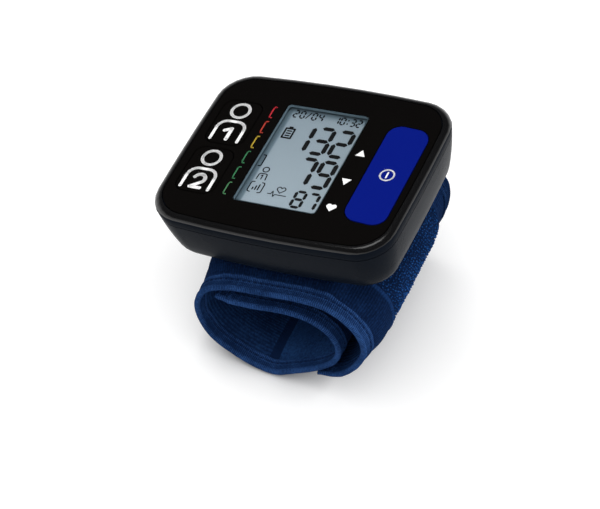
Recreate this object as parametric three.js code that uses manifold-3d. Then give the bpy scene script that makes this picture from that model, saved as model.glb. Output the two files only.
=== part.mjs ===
// Wrist blood pressure monitor: a battery-powered housing with a display and keys,
// fixed to a pre-formed cuff that curls round a wrist and closes with a hinged flap.
// Millimetres. The pieces are modelled square to the face, with z along the face's normal,
// and the whole monitor is then tipped to the pose in which it stands on its cuff.

import * as THREE from 'three';
import { mergeVertices } from 'three/addons/utils/BufferGeometryUtils.js';
import Module from 'manifold-3d';

const wasm = await Module();
wasm.setup();

// Fits, and the overrun of every cut
const clearance = 0.3;
const overrun = 2.0;

// Walls of the housing
const shellWall = 1.8;
const baseWall = 1.5;
const plateWall = 1.3;
const lipInset = 1.0;
const lipDepth = 1.5;

// Across the face from left to right: margin, user keys, gap, window, gap, start key, margin
const leftMargin = 5.2;
const userKeyWidth = 12.4;
const userKeyGap = 7.1;
const windowWidth = 25.8;
const startKeyGap = 7.89;
const startKeyWidth = 12.9;
const rightMargin = 4.51;

// Down from the face: panel, plate, key flange, switch, board, battery bay and base
const panelThickness = 1.0;
const keyFlangeThickness = 0.6;
const keyRoom = 0.7;
const switchHeight = 1.0;
const boardThickness = 1.0;
const bayRoof = 0.8;
const cellRadius = 5.25;
const recessDepth = panelThickness + clearance;
const plateDepth = recessDepth + plateWall;
const flangeDepth = plateDepth + clearance;
const flangeBottom = flangeDepth + keyFlangeThickness;
const switchTop = flangeBottom + keyRoom;
const switchBottom = switchTop + switchHeight;
const boardDepth = switchBottom + clearance;
const boardBottom = boardDepth + boardThickness;
const bayTop = boardBottom + clearance + bayRoof;
const cellDepth = bayTop + clearance + cellRadius;
const floorDepth = cellDepth + cellRadius + clearance;

// Along the face from its middle: half a cell with its contacts, the bay's wall and the end room
const cellLength = 44.5;
const contactThickness = 0.4;
const springHeight = 1.3;
const bayWall = 1.0;
const bayEndRoom = 6.5;
const bayHalfLength = (cellLength + springHeight + 2 * contactThickness + 4 * clearance) / 2;

// The housing that goes round all this
const keyColumns = leftMargin + userKeyWidth + startKeyWidth + rightMargin;
const housingWidth = keyColumns + userKeyGap + windowWidth + startKeyGap;
const housingHeight = 2 * (bayHalfLength + bayWall + bayEndRoom);
const housingDepth = floorDepth + baseWall;
const partingDepth = 3.8;
const rimDepth = 1.8;
const shoulderWidth = 1.6;
const sideBow = 0.58;
const endBow = 1.72;
const cornerRadius = 9.6;
const wallTaper = 3.7;
const wallBulge = 0.43;
const baseFillet = 4.0;
const cornerTaperShare = 0.54;

// Driving sizes of the cuff: the loop is set in from both sides of the housing
const cuffLeftSetIn = 8.5;
const cuffRightSetIn = 13.6;
const loopWidth = housingWidth - cuffLeftSetIn - cuffRightSetIn;
const loopLeft = housingWidth / 2 - cuffLeftSetIn;
const loopDrop = 37.1;
const seatDepth = 4.6;
const flapLengthShare = 0.191;
const standingTilt = 12.82;
const flatDepth = 0.5;

// How finely round forms are divided
const cornerSteps = 6;
const smallCornerSteps = 3;
const sideSteps = 5;
const shoulderSteps = 4;
const wallSteps = 4;
const filletSteps = 4;
const roundSteps = 16;
const stripSteps = 60;

// Colours and finishes
const glossBlack = new THREE.MeshStandardMaterial({ color: 0x0b0a0a, roughness: 0.12, metalness: 0.0 });
const satinBlack = new THREE.MeshStandardMaterial({ color: 0x1b1c1e, roughness: 0.45, metalness: 0.0 });
const charcoal = new THREE.MeshStandardMaterial({ color: 0x3a3d42, roughness: 0.6, metalness: 0.0 });
const keyBlue = new THREE.MeshStandardMaterial({ color: 0x071a80, roughness: 0.2, metalness: 0.0 });
const windowClear = new THREE.MeshStandardMaterial({
  color: 0xe8eef0, roughness: 0.05, metalness: 0.0, transparent: true, opacity: 0.3,
});
const displayGrey = new THREE.MeshStandardMaterial({ color: 0x95a5af, roughness: 0.3, metalness: 0.0 });
const boardGreen = new THREE.MeshStandardMaterial({ color: 0x14532d, roughness: 0.5, metalness: 0.0 });
const steel = new THREE.MeshStandardMaterial({ color: 0xb8bcc0, roughness: 0.35, metalness: 1.0 });
const valveBrass = new THREE.MeshStandardMaterial({ color: 0xb08d4a, roughness: 0.4, metalness: 1.0 });
const pipeClear = new THREE.MeshStandardMaterial({ color: 0xd9dcd8, roughness: 0.4, metalness: 0.0 });
const cellGreen = new THREE.MeshStandardMaterial({ color: 0x2f6b3c, roughness: 0.35, metalness: 0.3 });
const fabricNavy = new THREE.MeshStandardMaterial({ color: 0x112243, roughness: 0.95, metalness: 0.0 });
const liningNavy = new THREE.MeshStandardMaterial({ color: 0x07142a, roughness: 1.0, metalness: 0.0 });
const tapeBlue = new THREE.MeshStandardMaterial({ color: 0x1a2f54, roughness: 0.9, metalness: 0.0 });
const bladderGrey = new THREE.MeshStandardMaterial({ color: 0x55585c, roughness: 0.7, metalness: 0.0 });
const stiffenerWhite = new THREE.MeshStandardMaterial({ color: 0xc9ccc9, roughness: 0.5, metalness: 0.0 });

// The whole monitor hangs in this group, which is tipped and set on the floor at the end
const monitor = new THREE.Group();

function addPiece(name, geometry, material) {
  const mesh = new THREE.Mesh(geometry, material);
  mesh.name = name;
  monitor.add(mesh);
  return mesh;
}

// Solids for cutting and joining, and back to geometry
function solidOf(geometry) {
  const bare = geometry.clone();
  bare.deleteAttribute('normal');
  bare.deleteAttribute('uv');
  const merged = mergeVertices(bare);
  return new wasm.Manifold(new wasm.Mesh({
    numProp: 3,
    vertProperties: new Float32Array(merged.attributes.position.array),
    triVerts: new Uint32Array(merged.index.array),
  }));
}

function geometryOf(solid) {
  const mesh = solid.getMesh();
  const geometry = new THREE.BufferGeometry();
  geometry.setAttribute('position', new THREE.BufferAttribute(mesh.vertProperties, 3));
  geometry.setIndex(new THREE.BufferAttribute(mesh.triVerts, 1));
  geometry.computeVertexNormals();
  return geometry;
}

// A closed body through rings of equal count. Each ring runs anticlockwise round the direction
// of travel, and each flat is the same ring in its own plane, for closing the ends.
function loft(rings, startFlat, endFlat) {
  const positions = [];
  const faces = [];
  const count = rings[0].length;
  rings.forEach((ring) => ring.forEach((point) => positions.push(point.x, point.y, point.z)));
  for (let i = 0; i < rings.length - 1; i += 1) {
    for (let j = 0; j < count; j += 1) {
      const a = i * count + j;
      const b = i * count + (j + 1) % count;
      faces.push(a, b, b + count, a, b + count, a + count);
    }
  }
  const last = (rings.length - 1) * count;
  const { triangulateShape } = THREE.ShapeUtils;
  triangulateShape(startFlat, []).forEach(([a, b, c]) => faces.push(a, c, b));
  triangulateShape(endFlat, []).forEach(([a, b, c]) => faces.push(last + a, last + b, last + c));
  const geometry = new THREE.BufferGeometry();
  geometry.setAttribute('position', new THREE.Float32BufferAttribute(positions, 3));
  geometry.setIndex(faces);
  geometry.computeVertexNormals();
  return geometry;
}

// The housing's outline at a given inset: a rounded rectangle whose sides bow outwards
function outline(inset) {
  const halfWidth = housingWidth / 2 - sideBow - inset;
  const halfHeight = housingHeight / 2 - endBow - inset;
  const radius = cornerRadius - inset * cornerTaperShare;
  const corners = [[1, 1], [-1, 1], [-1, -1], [1, -1]];
  const arcs = corners.map(([sx, sy], k) => {
    const points = [];
    for (let i = 0; i <= cornerSteps; i += 1) {
      const angle = (k + i / cornerSteps) * Math.PI / 2;
      points.push(new THREE.Vector2(
        sx * (halfWidth - radius) + radius * Math.cos(angle),
        sy * (halfHeight - radius) + radius * Math.sin(angle),
      ));
    }
    return points;
  });
  const points = [];
  arcs.forEach((arc, k) => {
    points.push(...arc);
    const next = arcs[(k + 1) % arcs.length][0];
    for (let i = 1; i < sideSteps; i += 1) {
      points.push(arc[cornerSteps].clone().lerp(next, i / sideSteps));
    }
  });
  return points.map((point) => new THREE.Vector2(
    point.x * (1 + sideBow * (1 - (point.y / halfHeight) ** 2) / halfWidth),
    point.y * (1 + endBow * (1 - (point.x / halfWidth) ** 2) / halfHeight),
  ));
}

// How far the housing's wall stands in from its rim at a depth below the face
function wallInset(depth) {
  const fall = (depth - rimDepth) / (housingDepth - rimDepth);
  const taper = wallTaper * fall - 4 * wallBulge * fall * (1 - fall);
  const turn = Math.max(0, (depth - housingDepth + baseFillet) / baseFillet);
  return taper + baseFillet * (1 - Math.sqrt(1 - turn * turn));
}

// A body through housing outlines, given from the lowest to the highest as [inset, depth]
function housingBody(levels) {
  const flats = levels.map(([inset]) => outline(inset));
  const rings = flats.map((flat, i) => flat.map((point) => new THREE.Vector3(point.x, point.y, -levels[i][1])));
  return solidOf(loft(rings, flats[0], flats[flats.length - 1]));
}

// The levels of the rear cover's wall between two depths, moved in by an offset
function wallLevels(topDepth, bottomDepth, offset) {
  const levels = [];
  const filletTop = housingDepth - baseFillet;
  for (let i = filletSteps; i > 0; i -= 1) {
    const depth = filletTop + baseFillet * Math.sin(i / filletSteps * Math.PI / 2);
    if (depth < bottomDepth) levels.push([wallInset(depth) + offset, depth]);
  }
  levels.unshift([wallInset(bottomDepth) + offset, bottomDepth]);
  for (let i = wallSteps; i >= 0; i -= 1) {
    const depth = topDepth + (filletTop - topDepth) * i / wallSteps;
    levels.push([wallInset(depth) + offset, depth]);
  }
  return levels;
}

// Flat shapes and the slabs cut from them, given by the depths of their top and bottom
function roundedRectangle(width, height, radius, centreX, centreY) {
  const shape = new THREE.Shape();
  const right = centreX + width / 2 - radius;
  const left = centreX - width / 2 + radius;
  const top = centreY + height / 2 - radius;
  const bottom = centreY - height / 2 + radius;
  shape.absarc(right, bottom, radius, -Math.PI / 2, 0);
  shape.absarc(right, top, radius, 0, Math.PI / 2);
  shape.absarc(left, top, radius, Math.PI / 2, Math.PI);
  shape.absarc(left, bottom, radius, Math.PI, Math.PI * 1.5);
  return shape;
}

function slab(shape, topDepth, bottomDepth) {
  const geometry = new THREE.ExtrudeGeometry(shape, {
    depth: bottomDepth - topDepth, bevelEnabled: false, curveSegments: smallCornerSteps,
  });
  return solidOf(geometry.translate(0, 0, -bottomDepth));
}

function post(radius, topDepth, bottomDepth, x, y) {
  const geometry = new THREE.CylinderGeometry(radius, radius, bottomDepth - topDepth, roundSteps);
  geometry.rotateX(Math.PI / 2);
  return solidOf(geometry.translate(x, y, -(topDepth + bottomDepth) / 2));
}

function block(sizeX, sizeY, topDepth, bottomDepth, x, y) {
  const geometry = new THREE.BoxGeometry(sizeX, sizeY, bottomDepth - topDepth);
  return solidOf(geometry.translate(x, y, -(topDepth + bottomDepth) / 2));
}

// Keys: the start key is a long bar with slanted ends, the two user keys share one column
const startKey = { width: startKeyWidth, height: 37.65, radius: 4.2, y: -0.5, slantShare: -0.06 };
startKey.x = housingWidth / 2 - rightMargin - startKeyWidth / 2;
const userKeyHeight = 17.6;
const userKeyRadius = 3.0;
const userKeyX = leftMargin + userKeyWidth / 2 - housingWidth / 2;
const userKeyPitch = 19.8;
const userKeyMiddle = -0.6;
const keyTravel = 0.5;
const keyFlangeReach = 0.4;
const keyStemRadius = 1.6;
const switchSize = 7.0;

const keys = [
  { name: 'start_stop', ...startKey, material: keyBlue },
  {
    name: 'user_1', width: userKeyWidth, height: userKeyHeight, radius: userKeyRadius, x: userKeyX,
    y: userKeyMiddle + userKeyPitch / 2, slantShare: 0, material: glossBlack,
  },
  {
    name: 'user_2', width: userKeyWidth, height: userKeyHeight, radius: userKeyRadius, x: userKeyX,
    y: userKeyMiddle - userKeyPitch / 2, slantShare: 0, material: glossBlack,
  },
];

function keyShape(key, grow) {
  const plain = roundedRectangle(key.width + 2 * grow, key.height + 2 * grow, key.radius + grow, key.x, key.y);
  const points = plain.getPoints(smallCornerSteps);
  return new THREE.Shape(points.map((point) => new THREE.Vector2(
    point.x, point.y + key.slantShare * (point.x - key.x),
  )));
}

// Display: a clear window in the panel over a glass cell that sits in the front cover
const windowHeight = 39.3;
const windowRadius = 1.0;
const windowX = leftMargin + userKeyWidth + userKeyGap + windowWidth / 2 - housingWidth / 2;
const windowY = 0.4;
const glassSideLap = 1.4;
const glassEndLap = 1.35;
const glassWidth = windowWidth + 2 * glassSideLap;
const glassHeight = windowHeight + 2 * glassEndLap;
const glassDepth = 2.2;
const glassThickness = 1.6;
const glassBottom = glassDepth + glassThickness;
const displayFrameRim = 0.7;
const displayFrameBar = 2.0;

// How far the recess for the panel, and the board, stand in from the rim
const recessInset = 2.1;
const boardInset = 4.8;

// Housing screws: each runs up from the base into a boss of the front cover, beside the display
const screwEndRoom = 10.9;
const screwRadius = 1.1;
const screwHeadRadius = 2.1;
const screwHeadHeight = 1.5;
const screwSeatHeight = 6.2;
const screwTipDepth = 5.0;
const frontBossRadius = 2.3;
const frontBossRoom = 0.4;
const frontBossDepth = 9.7;
const rearBossRadius = 3.0;
const screwSeatDepth = housingDepth - screwSeatHeight;
const screwX = windowX + glassWidth / 2 + displayFrameRim + frontBossRadius + frontBossRoom;
const screwY = housingHeight / 2 - screwEndRoom;
const screwPlaces = [[screwX, screwY], [screwX, -screwY]];

// The air parts lie in line along y, and the cuff screws beyond both ends of their manifold. All sit
// over the flat top of the cuff's loop, at shares of the loop's width.
const portSpacing = 6.5;
const manifoldEnd = 4.5;
const manifoldLength = 2 * (portSpacing + manifoldEnd);
const leftScrewShare = 0.464;
const airShare = 0.631;
const rightScrewShare = 0.73;
const cuffScrewLeft = leftScrewShare * loopWidth - loopLeft;
const airX = airShare * loopWidth - loopLeft;
const cuffScrewRight = rightScrewShare * loopWidth - loopLeft;
const cuffScrewRoom = 5.0;
const cuffScrewY = manifoldLength / 2 + cuffScrewRoom;
const cuffScrewRadius = 1.1;
const cuffScrewHeadRadius = 2.4;
const cuffScrewHeadHeight = 1.0;
const cuffBossRadius = 2.6;
const cuffBossHeight = 7.7;
const cuffBossDepth = housingDepth - cuffBossHeight;
const cuffScrewPlaces = [
  [cuffScrewLeft, cuffScrewY], [cuffScrewLeft, -cuffScrewY],
  [cuffScrewRight, cuffScrewY], [cuffScrewRight, -cuffScrewY],
];

// Battery bay: two small cells side by side behind a cover in the left wall
const cellNubRadius = 1.9;
const cellNubHeight = 0.8;
const cellPitch = 2 * cellRadius + clearance;
const cellWallRoom = 5.3;
const outerCellX = cellWallRoom + cellRadius - housingWidth / 2;
const innerCellX = outerCellX + cellPitch;
const bayRight = innerCellX + cellRadius + clearance;
const contactSize = 5.4;
const springBaseRadius = 3.0;
const springTipRadius = 1.8;
const coverMargin = 0.2;
const coverRise = 0.5;
const coverReach = 7.58;
const coverThickness = 1.5;
const coverHalfLength = cellLength / 2 + coverMargin;
const coverTop = bayTop + coverMargin;
const coverBottom = floorDepth - coverRise;
const ridgeCount = 4;
const ridgePitch = 2.0;
const ridgeWidth = 0.9;
const ridgeLength = 14.0;
const ridgeHeight = 0.4;

// Front cover: rim with a rounded shoulder, recessed plate, lip and screw bosses
function frontCover() {
  const levels = [[wallInset(partingDepth), partingDepth]];
  for (let i = 0; i <= shoulderSteps; i += 1) {
    const angle = i / shoulderSteps * Math.PI / 2;
    levels.push([shoulderWidth * (1 - Math.cos(angle)), rimDepth * (1 - Math.sin(angle))]);
  }
  const wallIn = wallInset(partingDepth) + shellWall;
  const lipOut = wallInset(partingDepth) + lipInset;
  const lipEnd = partingDepth + lipDepth;
  const lip = housingBody([[lipOut, lipEnd], [lipOut, plateDepth]]);
  let cover = housingBody(levels).add(lip);
  cover = cover.subtract(housingBody([[wallIn, lipEnd + overrun], [wallIn, plateDepth]]));
  cover = cover.subtract(housingBody([[recessInset, recessDepth], [recessInset, -overrun]]));
  const glassRoom = roundedRectangle(
    glassWidth + 2 * clearance, glassHeight + 2 * clearance, windowRadius, windowX, windowY,
  );
  cover = cover.subtract(slab(glassRoom, 0, plateDepth + overrun));
  keys.forEach((key) => {
    cover = cover.subtract(slab(keyShape(key, clearance), 0, plateDepth + overrun));
  });
  screwPlaces.forEach(([x, y]) => {
    cover = cover.add(post(frontBossRadius, recessDepth, frontBossDepth, x, y));
    cover = cover.subtract(
      post(screwRadius + clearance, screwTipDepth - clearance, frontBossDepth + overrun, x, y),
    );
  });
  return cover;
}
addPiece('front_cover', geometryOf(frontCover()), satinBlack);

// Face panel: one glossy plate, flush in the rim, open for the window and the keys
function facePanel() {
  const inset = recessInset + clearance;
  let panel = housingBody([[inset, panelThickness], [inset, 0]]);
  const opening = roundedRectangle(
    windowWidth + 2 * clearance, windowHeight + 2 * clearance, windowRadius + clearance, windowX, windowY,
  );
  panel = panel.subtract(slab(opening, -overrun, panelThickness + overrun));
  keys.forEach((key) => {
    panel = panel.subtract(slab(keyShape(key, clearance), -overrun, panelThickness + overrun));
  });
  return panel;
}
addPiece('face_panel', geometryOf(facePanel()), glossBlack);

// Display window, glass cell and the frame that carries the cell above the board
const windowShape = roundedRectangle(windowWidth, windowHeight, windowRadius, windowX, windowY);
addPiece('display_window', geometryOf(slab(windowShape, 0, panelThickness)), windowClear);

const glassShape = roundedRectangle(glassWidth, glassHeight, windowRadius, windowX, windowY);
addPiece('display_glass', geometryOf(slab(glassShape, glassDepth, glassBottom)), displayGrey);

function displayFrame() {
  const top = glassBottom + clearance;
  const outer = roundedRectangle(
    glassWidth + 2 * displayFrameRim, glassHeight + 2 * displayFrameRim, windowRadius, windowX, windowY,
  );
  const inner = roundedRectangle(
    glassWidth - 2 * displayFrameBar, glassHeight - 2 * displayFrameBar, windowRadius, windowX, windowY,
  );
  return slab(outer, top, boardDepth - clearance).subtract(slab(inner, top - overrun, boardDepth + overrun));
}
addPiece('display_frame', geometryOf(displayFrame()), satinBlack);

// Keycaps: a cap flush with the panel, a flange behind the plate and a stem over the switch
const stemDepth = switchBottom - keyTravel;

keys.forEach((key) => {
  const cap = slab(keyShape(key, 0), 0, flangeBottom);
  const flange = slab(keyShape(key, clearance + keyFlangeReach), flangeDepth, flangeBottom);
  const stem = post(keyStemRadius, flangeDepth, stemDepth, key.x, key.y);
  addPiece(`${key.name}_button`, geometryOf(cap.add(flange).add(stem)), key.material);

  const body = block(switchSize, switchSize, switchTop, switchBottom, key.x, key.y);
  const well = post(keyStemRadius + clearance, switchTop - overrun, switchBottom + overrun, key.x, key.y);
  addPiece(`${key.name}_switch`, geometryOf(body.subtract(well)), steel);
});

// Circuit board, cleared round the bosses of the front cover
function circuitBoard() {
  let board = housingBody([[boardInset, boardBottom], [boardInset, boardDepth]]);
  screwPlaces.forEach(([x, y]) => {
    board = board.subtract(post(frontBossRadius + clearance, 0, boardBottom + overrun, x, y));
  });
  return board;
}
addPiece('circuit_board', geometryOf(circuitBoard()), boardGreen);

// Air parts: valve and sensor hang under the board over a manifold on the floor
const manifoldWidth = 9.0;
const manifoldHeight = 5.0;
const manifoldBottom = floorDepth - clearance;
const manifoldTop = manifoldBottom - manifoldHeight;
const portRadius = 1.2;
const portReach = 1.6;
const channelRadius = 0.8;
const channelDrop = 2.2;
const channelDepth = manifoldTop + channelDrop;
const nozzleRadius = 2.0;
const nozzleY = 0.0;
const nozzleDrop = 2.4;
const nozzleTop = manifoldTop + nozzleDrop;
const barbRadius = 1.1;
const barbShare = 0.356;
const hoseWall = 0.7;
const airPartTop = boardBottom + clearance;
const sensorSize = 8.0;
const sensorHeight = 3.5;
const valveRadius = 4.2;
const valveHeight = 4.7;
const pumpInset = 15.9;
const pumpX = housingWidth / 2 - pumpInset;
const motorRoom = 0.7;
const motorRadius = (floorDepth - boardBottom - motorRoom) / 2;
const motorStartRoom = 0.5;
const motorStartY = rearBossRadius + motorStartRoom - screwY;
const headRoom = 0.8;
const headSize = floorDepth - boardBottom - headRoom;
const headLength = 11.0;
const headEndRoom = 5.2;
const headEndY = screwY - rearBossRadius - headEndRoom;
const motorEndY = headEndY - headLength - clearance;
const pumpDepth = (boardBottom + floorDepth) / 2;

addPiece('pressure_sensor', geometryOf(
  block(sensorSize, sensorSize, airPartTop, airPartTop + sensorHeight, airX, portSpacing)
    .add(post(portRadius, airPartTop, manifoldTop + portReach, airX, portSpacing)),
), satinBlack);

addPiece('release_valve', geometryOf(
  post(valveRadius, airPartTop, airPartTop + valveHeight, airX, -portSpacing)
    .add(post(portRadius, airPartTop, manifoldTop + portReach, airX, -portSpacing)),
), valveBrass);

// A round bar along y, for the motor and the drilled channel, and one along x, for the barbs and the hose
function barAlongY(radius, startY, endY, x, depth) {
  const geometry = new THREE.CylinderGeometry(radius, radius, endY - startY, roundSteps);
  return solidOf(geometry.translate(x, (startY + endY) / 2, -depth));
}

function barAlongX(radius, startX, endX, y, depth) {
  const geometry = new THREE.CylinderGeometry(radius, radius, endX - startX, roundSteps);
  geometry.rotateZ(Math.PI / 2);
  return solidOf(geometry.translate((startX + endX) / 2, y, -depth));
}

// Manifold: a drilled block with a socket for each port, the nozzle's socket and the hose's barb
const manifoldRight = airX + manifoldWidth / 2;
const headLeft = pumpX - headSize / 2;
const barbLength = (headLeft - manifoldRight) * barbShare;
const hoseY = headEndY - headLength / 2;

function airManifold() {
  let body = block(manifoldWidth, manifoldLength, manifoldTop, manifoldBottom, airX, 0);
  body = body.add(barAlongX(barbRadius, airX, manifoldRight + barbLength, hoseY, channelDepth));
  [portSpacing, -portSpacing].forEach((y) => {
    body = body.subtract(post(portRadius + clearance, manifoldTop - overrun, channelDepth, airX, y));
  });
  body = body.subtract(
    post(nozzleRadius + clearance, nozzleTop - clearance, manifoldBottom + overrun, airX, nozzleY),
  );
  body = body.subtract(barAlongY(channelRadius, -portSpacing, portSpacing, airX, channelDepth));
  return body.subtract(
    barAlongX(channelRadius, airX, manifoldRight + barbLength + overrun, hoseY, channelDepth),
  );
}
addPiece('air_manifold', geometryOf(airManifold()), pipeClear);

// Pump: a motor and a head with its outlet, end to end along y
addPiece('pump_motor', geometryOf(barAlongY(motorRadius, motorStartY, motorEndY, pumpX, pumpDepth)), steel);

addPiece('pump_head', geometryOf(
  block(headSize, headLength, pumpDepth - headSize / 2, pumpDepth + headSize / 2, pumpX, hoseY)
    .add(barAlongX(barbRadius, headLeft - barbLength, pumpX, hoseY, channelDepth)),
), satinBlack);

// Air hose: pushed over the two barbs that face each other
const hoseBore = barbRadius + clearance;
addPiece('air_hose', geometryOf(
  barAlongX(hoseBore + hoseWall, manifoldRight + clearance, headLeft - clearance, hoseY, channelDepth)
    .subtract(barAlongX(hoseBore, manifoldRight - overrun, headLeft + overrun, hoseY, channelDepth)),
), pipeClear);

// Rear cover: tapered shell with a filleted base, the battery bay, bosses and the holes in the base
const rearTop = partingDepth + clearance;

function batteryOpening(grow) {
  const reach = coverReach + overrun;
  return block(
    reach, 2 * (coverHalfLength + grow), coverTop - grow, coverBottom + grow,
    coverReach - (housingWidth + reach) / 2, 0,
  );
}

function rearCover() {
  const outer = housingBody(wallLevels(rearTop, housingDepth, 0));
  const innerLevels = wallLevels(rearTop, floorDepth, shellWall);
  innerLevels.push([innerLevels[innerLevels.length - 1][0], rearTop - overrun]);
  const hollow = housingBody(innerLevels);
  const rebateInset = wallInset(partingDepth) + lipInset - clearance;
  const rebateEnd = partingDepth + lipDepth + clearance;
  const rebate = housingBody([[rebateInset, rebateEnd], [rebateInset, rearTop - overrun]]);
  const bayLeft = -housingWidth / 2;
  const bayWidth = bayRight - bayLeft;
  const bayBlock = block(
    bayWidth + bayWall, 2 * (bayHalfLength + bayWall), bayTop - bayRoof, housingDepth + overrun,
    bayLeft + (bayWidth + bayWall) / 2, 0,
  );
  const bayRoom = block(
    bayWidth + overrun, 2 * bayHalfLength, bayTop, housingDepth + 2 * overrun,
    bayLeft + (bayWidth - overrun) / 2, 0,
  );
  let room = hollow.subtract(bayBlock.subtract(bayRoom));
  screwPlaces.forEach(([x, y]) => {
    room = room.subtract(post(rearBossRadius, frontBossDepth + clearance, housingDepth + overrun, x, y));
  });
  cuffScrewPlaces.forEach(([x, y]) => {
    room = room.subtract(post(cuffBossRadius, cuffBossDepth, housingDepth + overrun, x, y));
  });
  let cover = outer.subtract(room).subtract(rebate).subtract(batteryOpening(clearance));
  screwPlaces.forEach(([x, y]) => {
    cover = cover.subtract(post(screwHeadRadius + clearance, screwSeatDepth, housingDepth + overrun, x, y));
    cover = cover.subtract(post(screwRadius + clearance, rearTop, housingDepth, x, y));
  });
  cuffScrewPlaces.forEach(([x, y]) => {
    cover = cover.subtract(
      post(cuffScrewRadius + clearance, cuffBossDepth + bayWall, housingDepth + overrun, x, y),
    );
  });
  return cover.subtract(
    post(nozzleRadius + clearance, floorDepth - overrun, housingDepth + overrun, airX, nozzleY),
  );
}
addPiece('rear_cover', geometryOf(rearCover()), charcoal);

// Battery cover: the piece of the left wall over the bay, with grip ridges
function wallShell(outside, inside) {
  const shell = housingBody(wallLevels(rearTop, housingDepth, outside));
  return shell.subtract(housingBody(wallLevels(rearTop, housingDepth, inside)));
}

function batteryCover() {
  let cover = wallShell(0, coverThickness).intersect(batteryOpening(0));
  const middle = (coverTop + coverBottom) / 2;
  for (let i = 0; i < ridgeCount; i += 1) {
    const depth = middle + (i - (ridgeCount - 1) / 2) * ridgePitch;
    const bar = block(
      housingWidth / 2, ridgeLength, depth - ridgeWidth / 2, depth + ridgeWidth / 2, -housingWidth / 2, 0,
    );
    cover = cover.add(wallShell(-ridgeHeight, coverThickness / 2).intersect(bar));
  }
  return cover;
}
addPiece('battery_cover', geometryOf(batteryCover()), charcoal);

// Housing screws, from below: head in its counterbore, shank up into the front boss
screwPlaces.forEach(([x, y], i) => {
  const headBottom = screwSeatDepth + clearance + screwHeadHeight;
  addPiece(`housing_screw_${i + 1}`, geometryOf(
    post(screwHeadRadius, screwSeatDepth + clearance, headBottom, x, y)
      .add(post(screwRadius, screwTipDepth, headBottom, x, y)),
  ), steel);
});

// Cells with their contacts: the outer cell points one way and the inner cell the other
const cellPlaces = [[innerCellX, 1], [outerCellX, -1]];

function cellProfile() {
  const bodyLength = cellLength - cellNubHeight;
  return [[0, 0], [cellRadius, 0], [cellRadius, bodyLength], [cellNubRadius, bodyLength],
    [cellNubRadius, cellLength], [0, cellLength]];
}

function latheAlongY(profile, x, y, depth, direction) {
  const points = profile.map(([radius, height]) => new THREE.Vector2(radius, height));
  const geometry = new THREE.LatheGeometry(points, roundSteps);
  if (direction < 0) geometry.rotateX(Math.PI);
  return solidOf(geometry.translate(x, y, -depth));
}

cellPlaces.forEach(([x, direction], i) => {
  const plateY = bayHalfLength - clearance;
  const cellStart = plateY - contactThickness - springHeight - clearance;
  addPiece(`battery_${i + 1}`, geometryOf(
    latheAlongY(cellProfile(), x, -direction * cellStart, cellDepth, direction),
  ), cellGreen);

  const plate = new THREE.BoxGeometry(contactSize, contactThickness, contactSize);
  const plateMiddle = plateY - contactThickness / 2;
  addPiece(`battery_contact_${i + 1}`, plate.clone().translate(x, direction * plateMiddle, -cellDepth), steel);

  const coil = [[0, 0], [springBaseRadius, 0], [springTipRadius, springHeight], [0, springHeight]];
  const springFoot = plateY - contactThickness;
  addPiece(`battery_spring_${i + 1}`, geometryOf(
    solidOf(plate.clone().translate(x, -direction * plateMiddle, -cellDepth))
      .add(latheAlongY(coil, x, -direction * springFoot, cellDepth, direction)),
  ), steel);
});

// The strip's route seen from the front, from the flap's free end up the right side, over the top
// below the housing, down the left, under the wrist and round again inside to the inner end.
// Each pair is a share of the loop's width and of its drop.
const routeShares = [
  [0.722, 0.885], [0.823, 0.824], [0.929, 0.674], [1.0, 0.485], [0.996, 0.307], [0.939, 0.148],
  [0.838, 0.038], [0.702, 0.0], [0.477, 0.007], [0.246, 0.03], [0.101, 0.113], [0.022, 0.275],
  [0.0, 0.464], [0.043, 0.695], [0.149, 0.852], [0.28, 0.97], [0.38, 1.0], [0.492, 0.943],
  [0.672, 0.819], [0.79, 0.69], [0.844, 0.518], [0.818, 0.353], [0.723, 0.229], [0.577, 0.182],
  [0.393, 0.197], [0.259, 0.194], [0.188, 0.167],
];
const loopTop = housingDepth + seatDepth;
const route = new THREE.CatmullRomCurve3(routeShares.map(([across, down]) => new THREE.Vector3(
  across * loopWidth - loopLeft, 0, -loopTop - down * loopDrop,
)), false, 'centripetal');
route.arcLengthDivisions = 600;
const routeLength = route.getLength();

// How full the padded middle is, and how far it is drawn up to the base, along the route
const fullnessShares = [
  [0, 0], [0.03, 0], [0.08, 0.6], [0.2, 0.6], [0.25, 1], [0.6, 1], [0.66, 0.55], [0.93, 0.55],
  [0.97, 0], [1, 0],
];
const seatShares = [[0, 0], [0.194, 0], [0.213, 1], [0.365, 1], [0.42, 0], [1, 0]];

function valueAt(shares, along) {
  const next = shares.findIndex(([place]) => place >= along);
  if (next <= 0) return shares[0][1];
  const [startPlace, startValue] = shares[next - 1];
  const [endPlace, endValue] = shares[next];
  return startValue + (endValue - startValue) * (along - startPlace) / (endPlace - startPlace);
}

// Where the stiffener and the bladder start and end, and the stations that all layers share
const stiffenerStartShare = 0.214;
const stiffenerEndShare = 0.93;
const bladderStartShare = 0.25;
const bladderEndShare = 0.6;
const leastStepShare = 0.1 / stripSteps;
const gridShares = [stiffenerStartShare, stiffenerEndShare, bladderStartShare, bladderEndShare];
for (let i = 1; i < stripSteps; i += 1) {
  const along = i / stripSteps;
  if (gridShares.every((place) => Math.abs(place - along) > 2 * leastStepShare)) gridShares.push(along);
}
gridShares.sort((a, b) => a - b);

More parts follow.
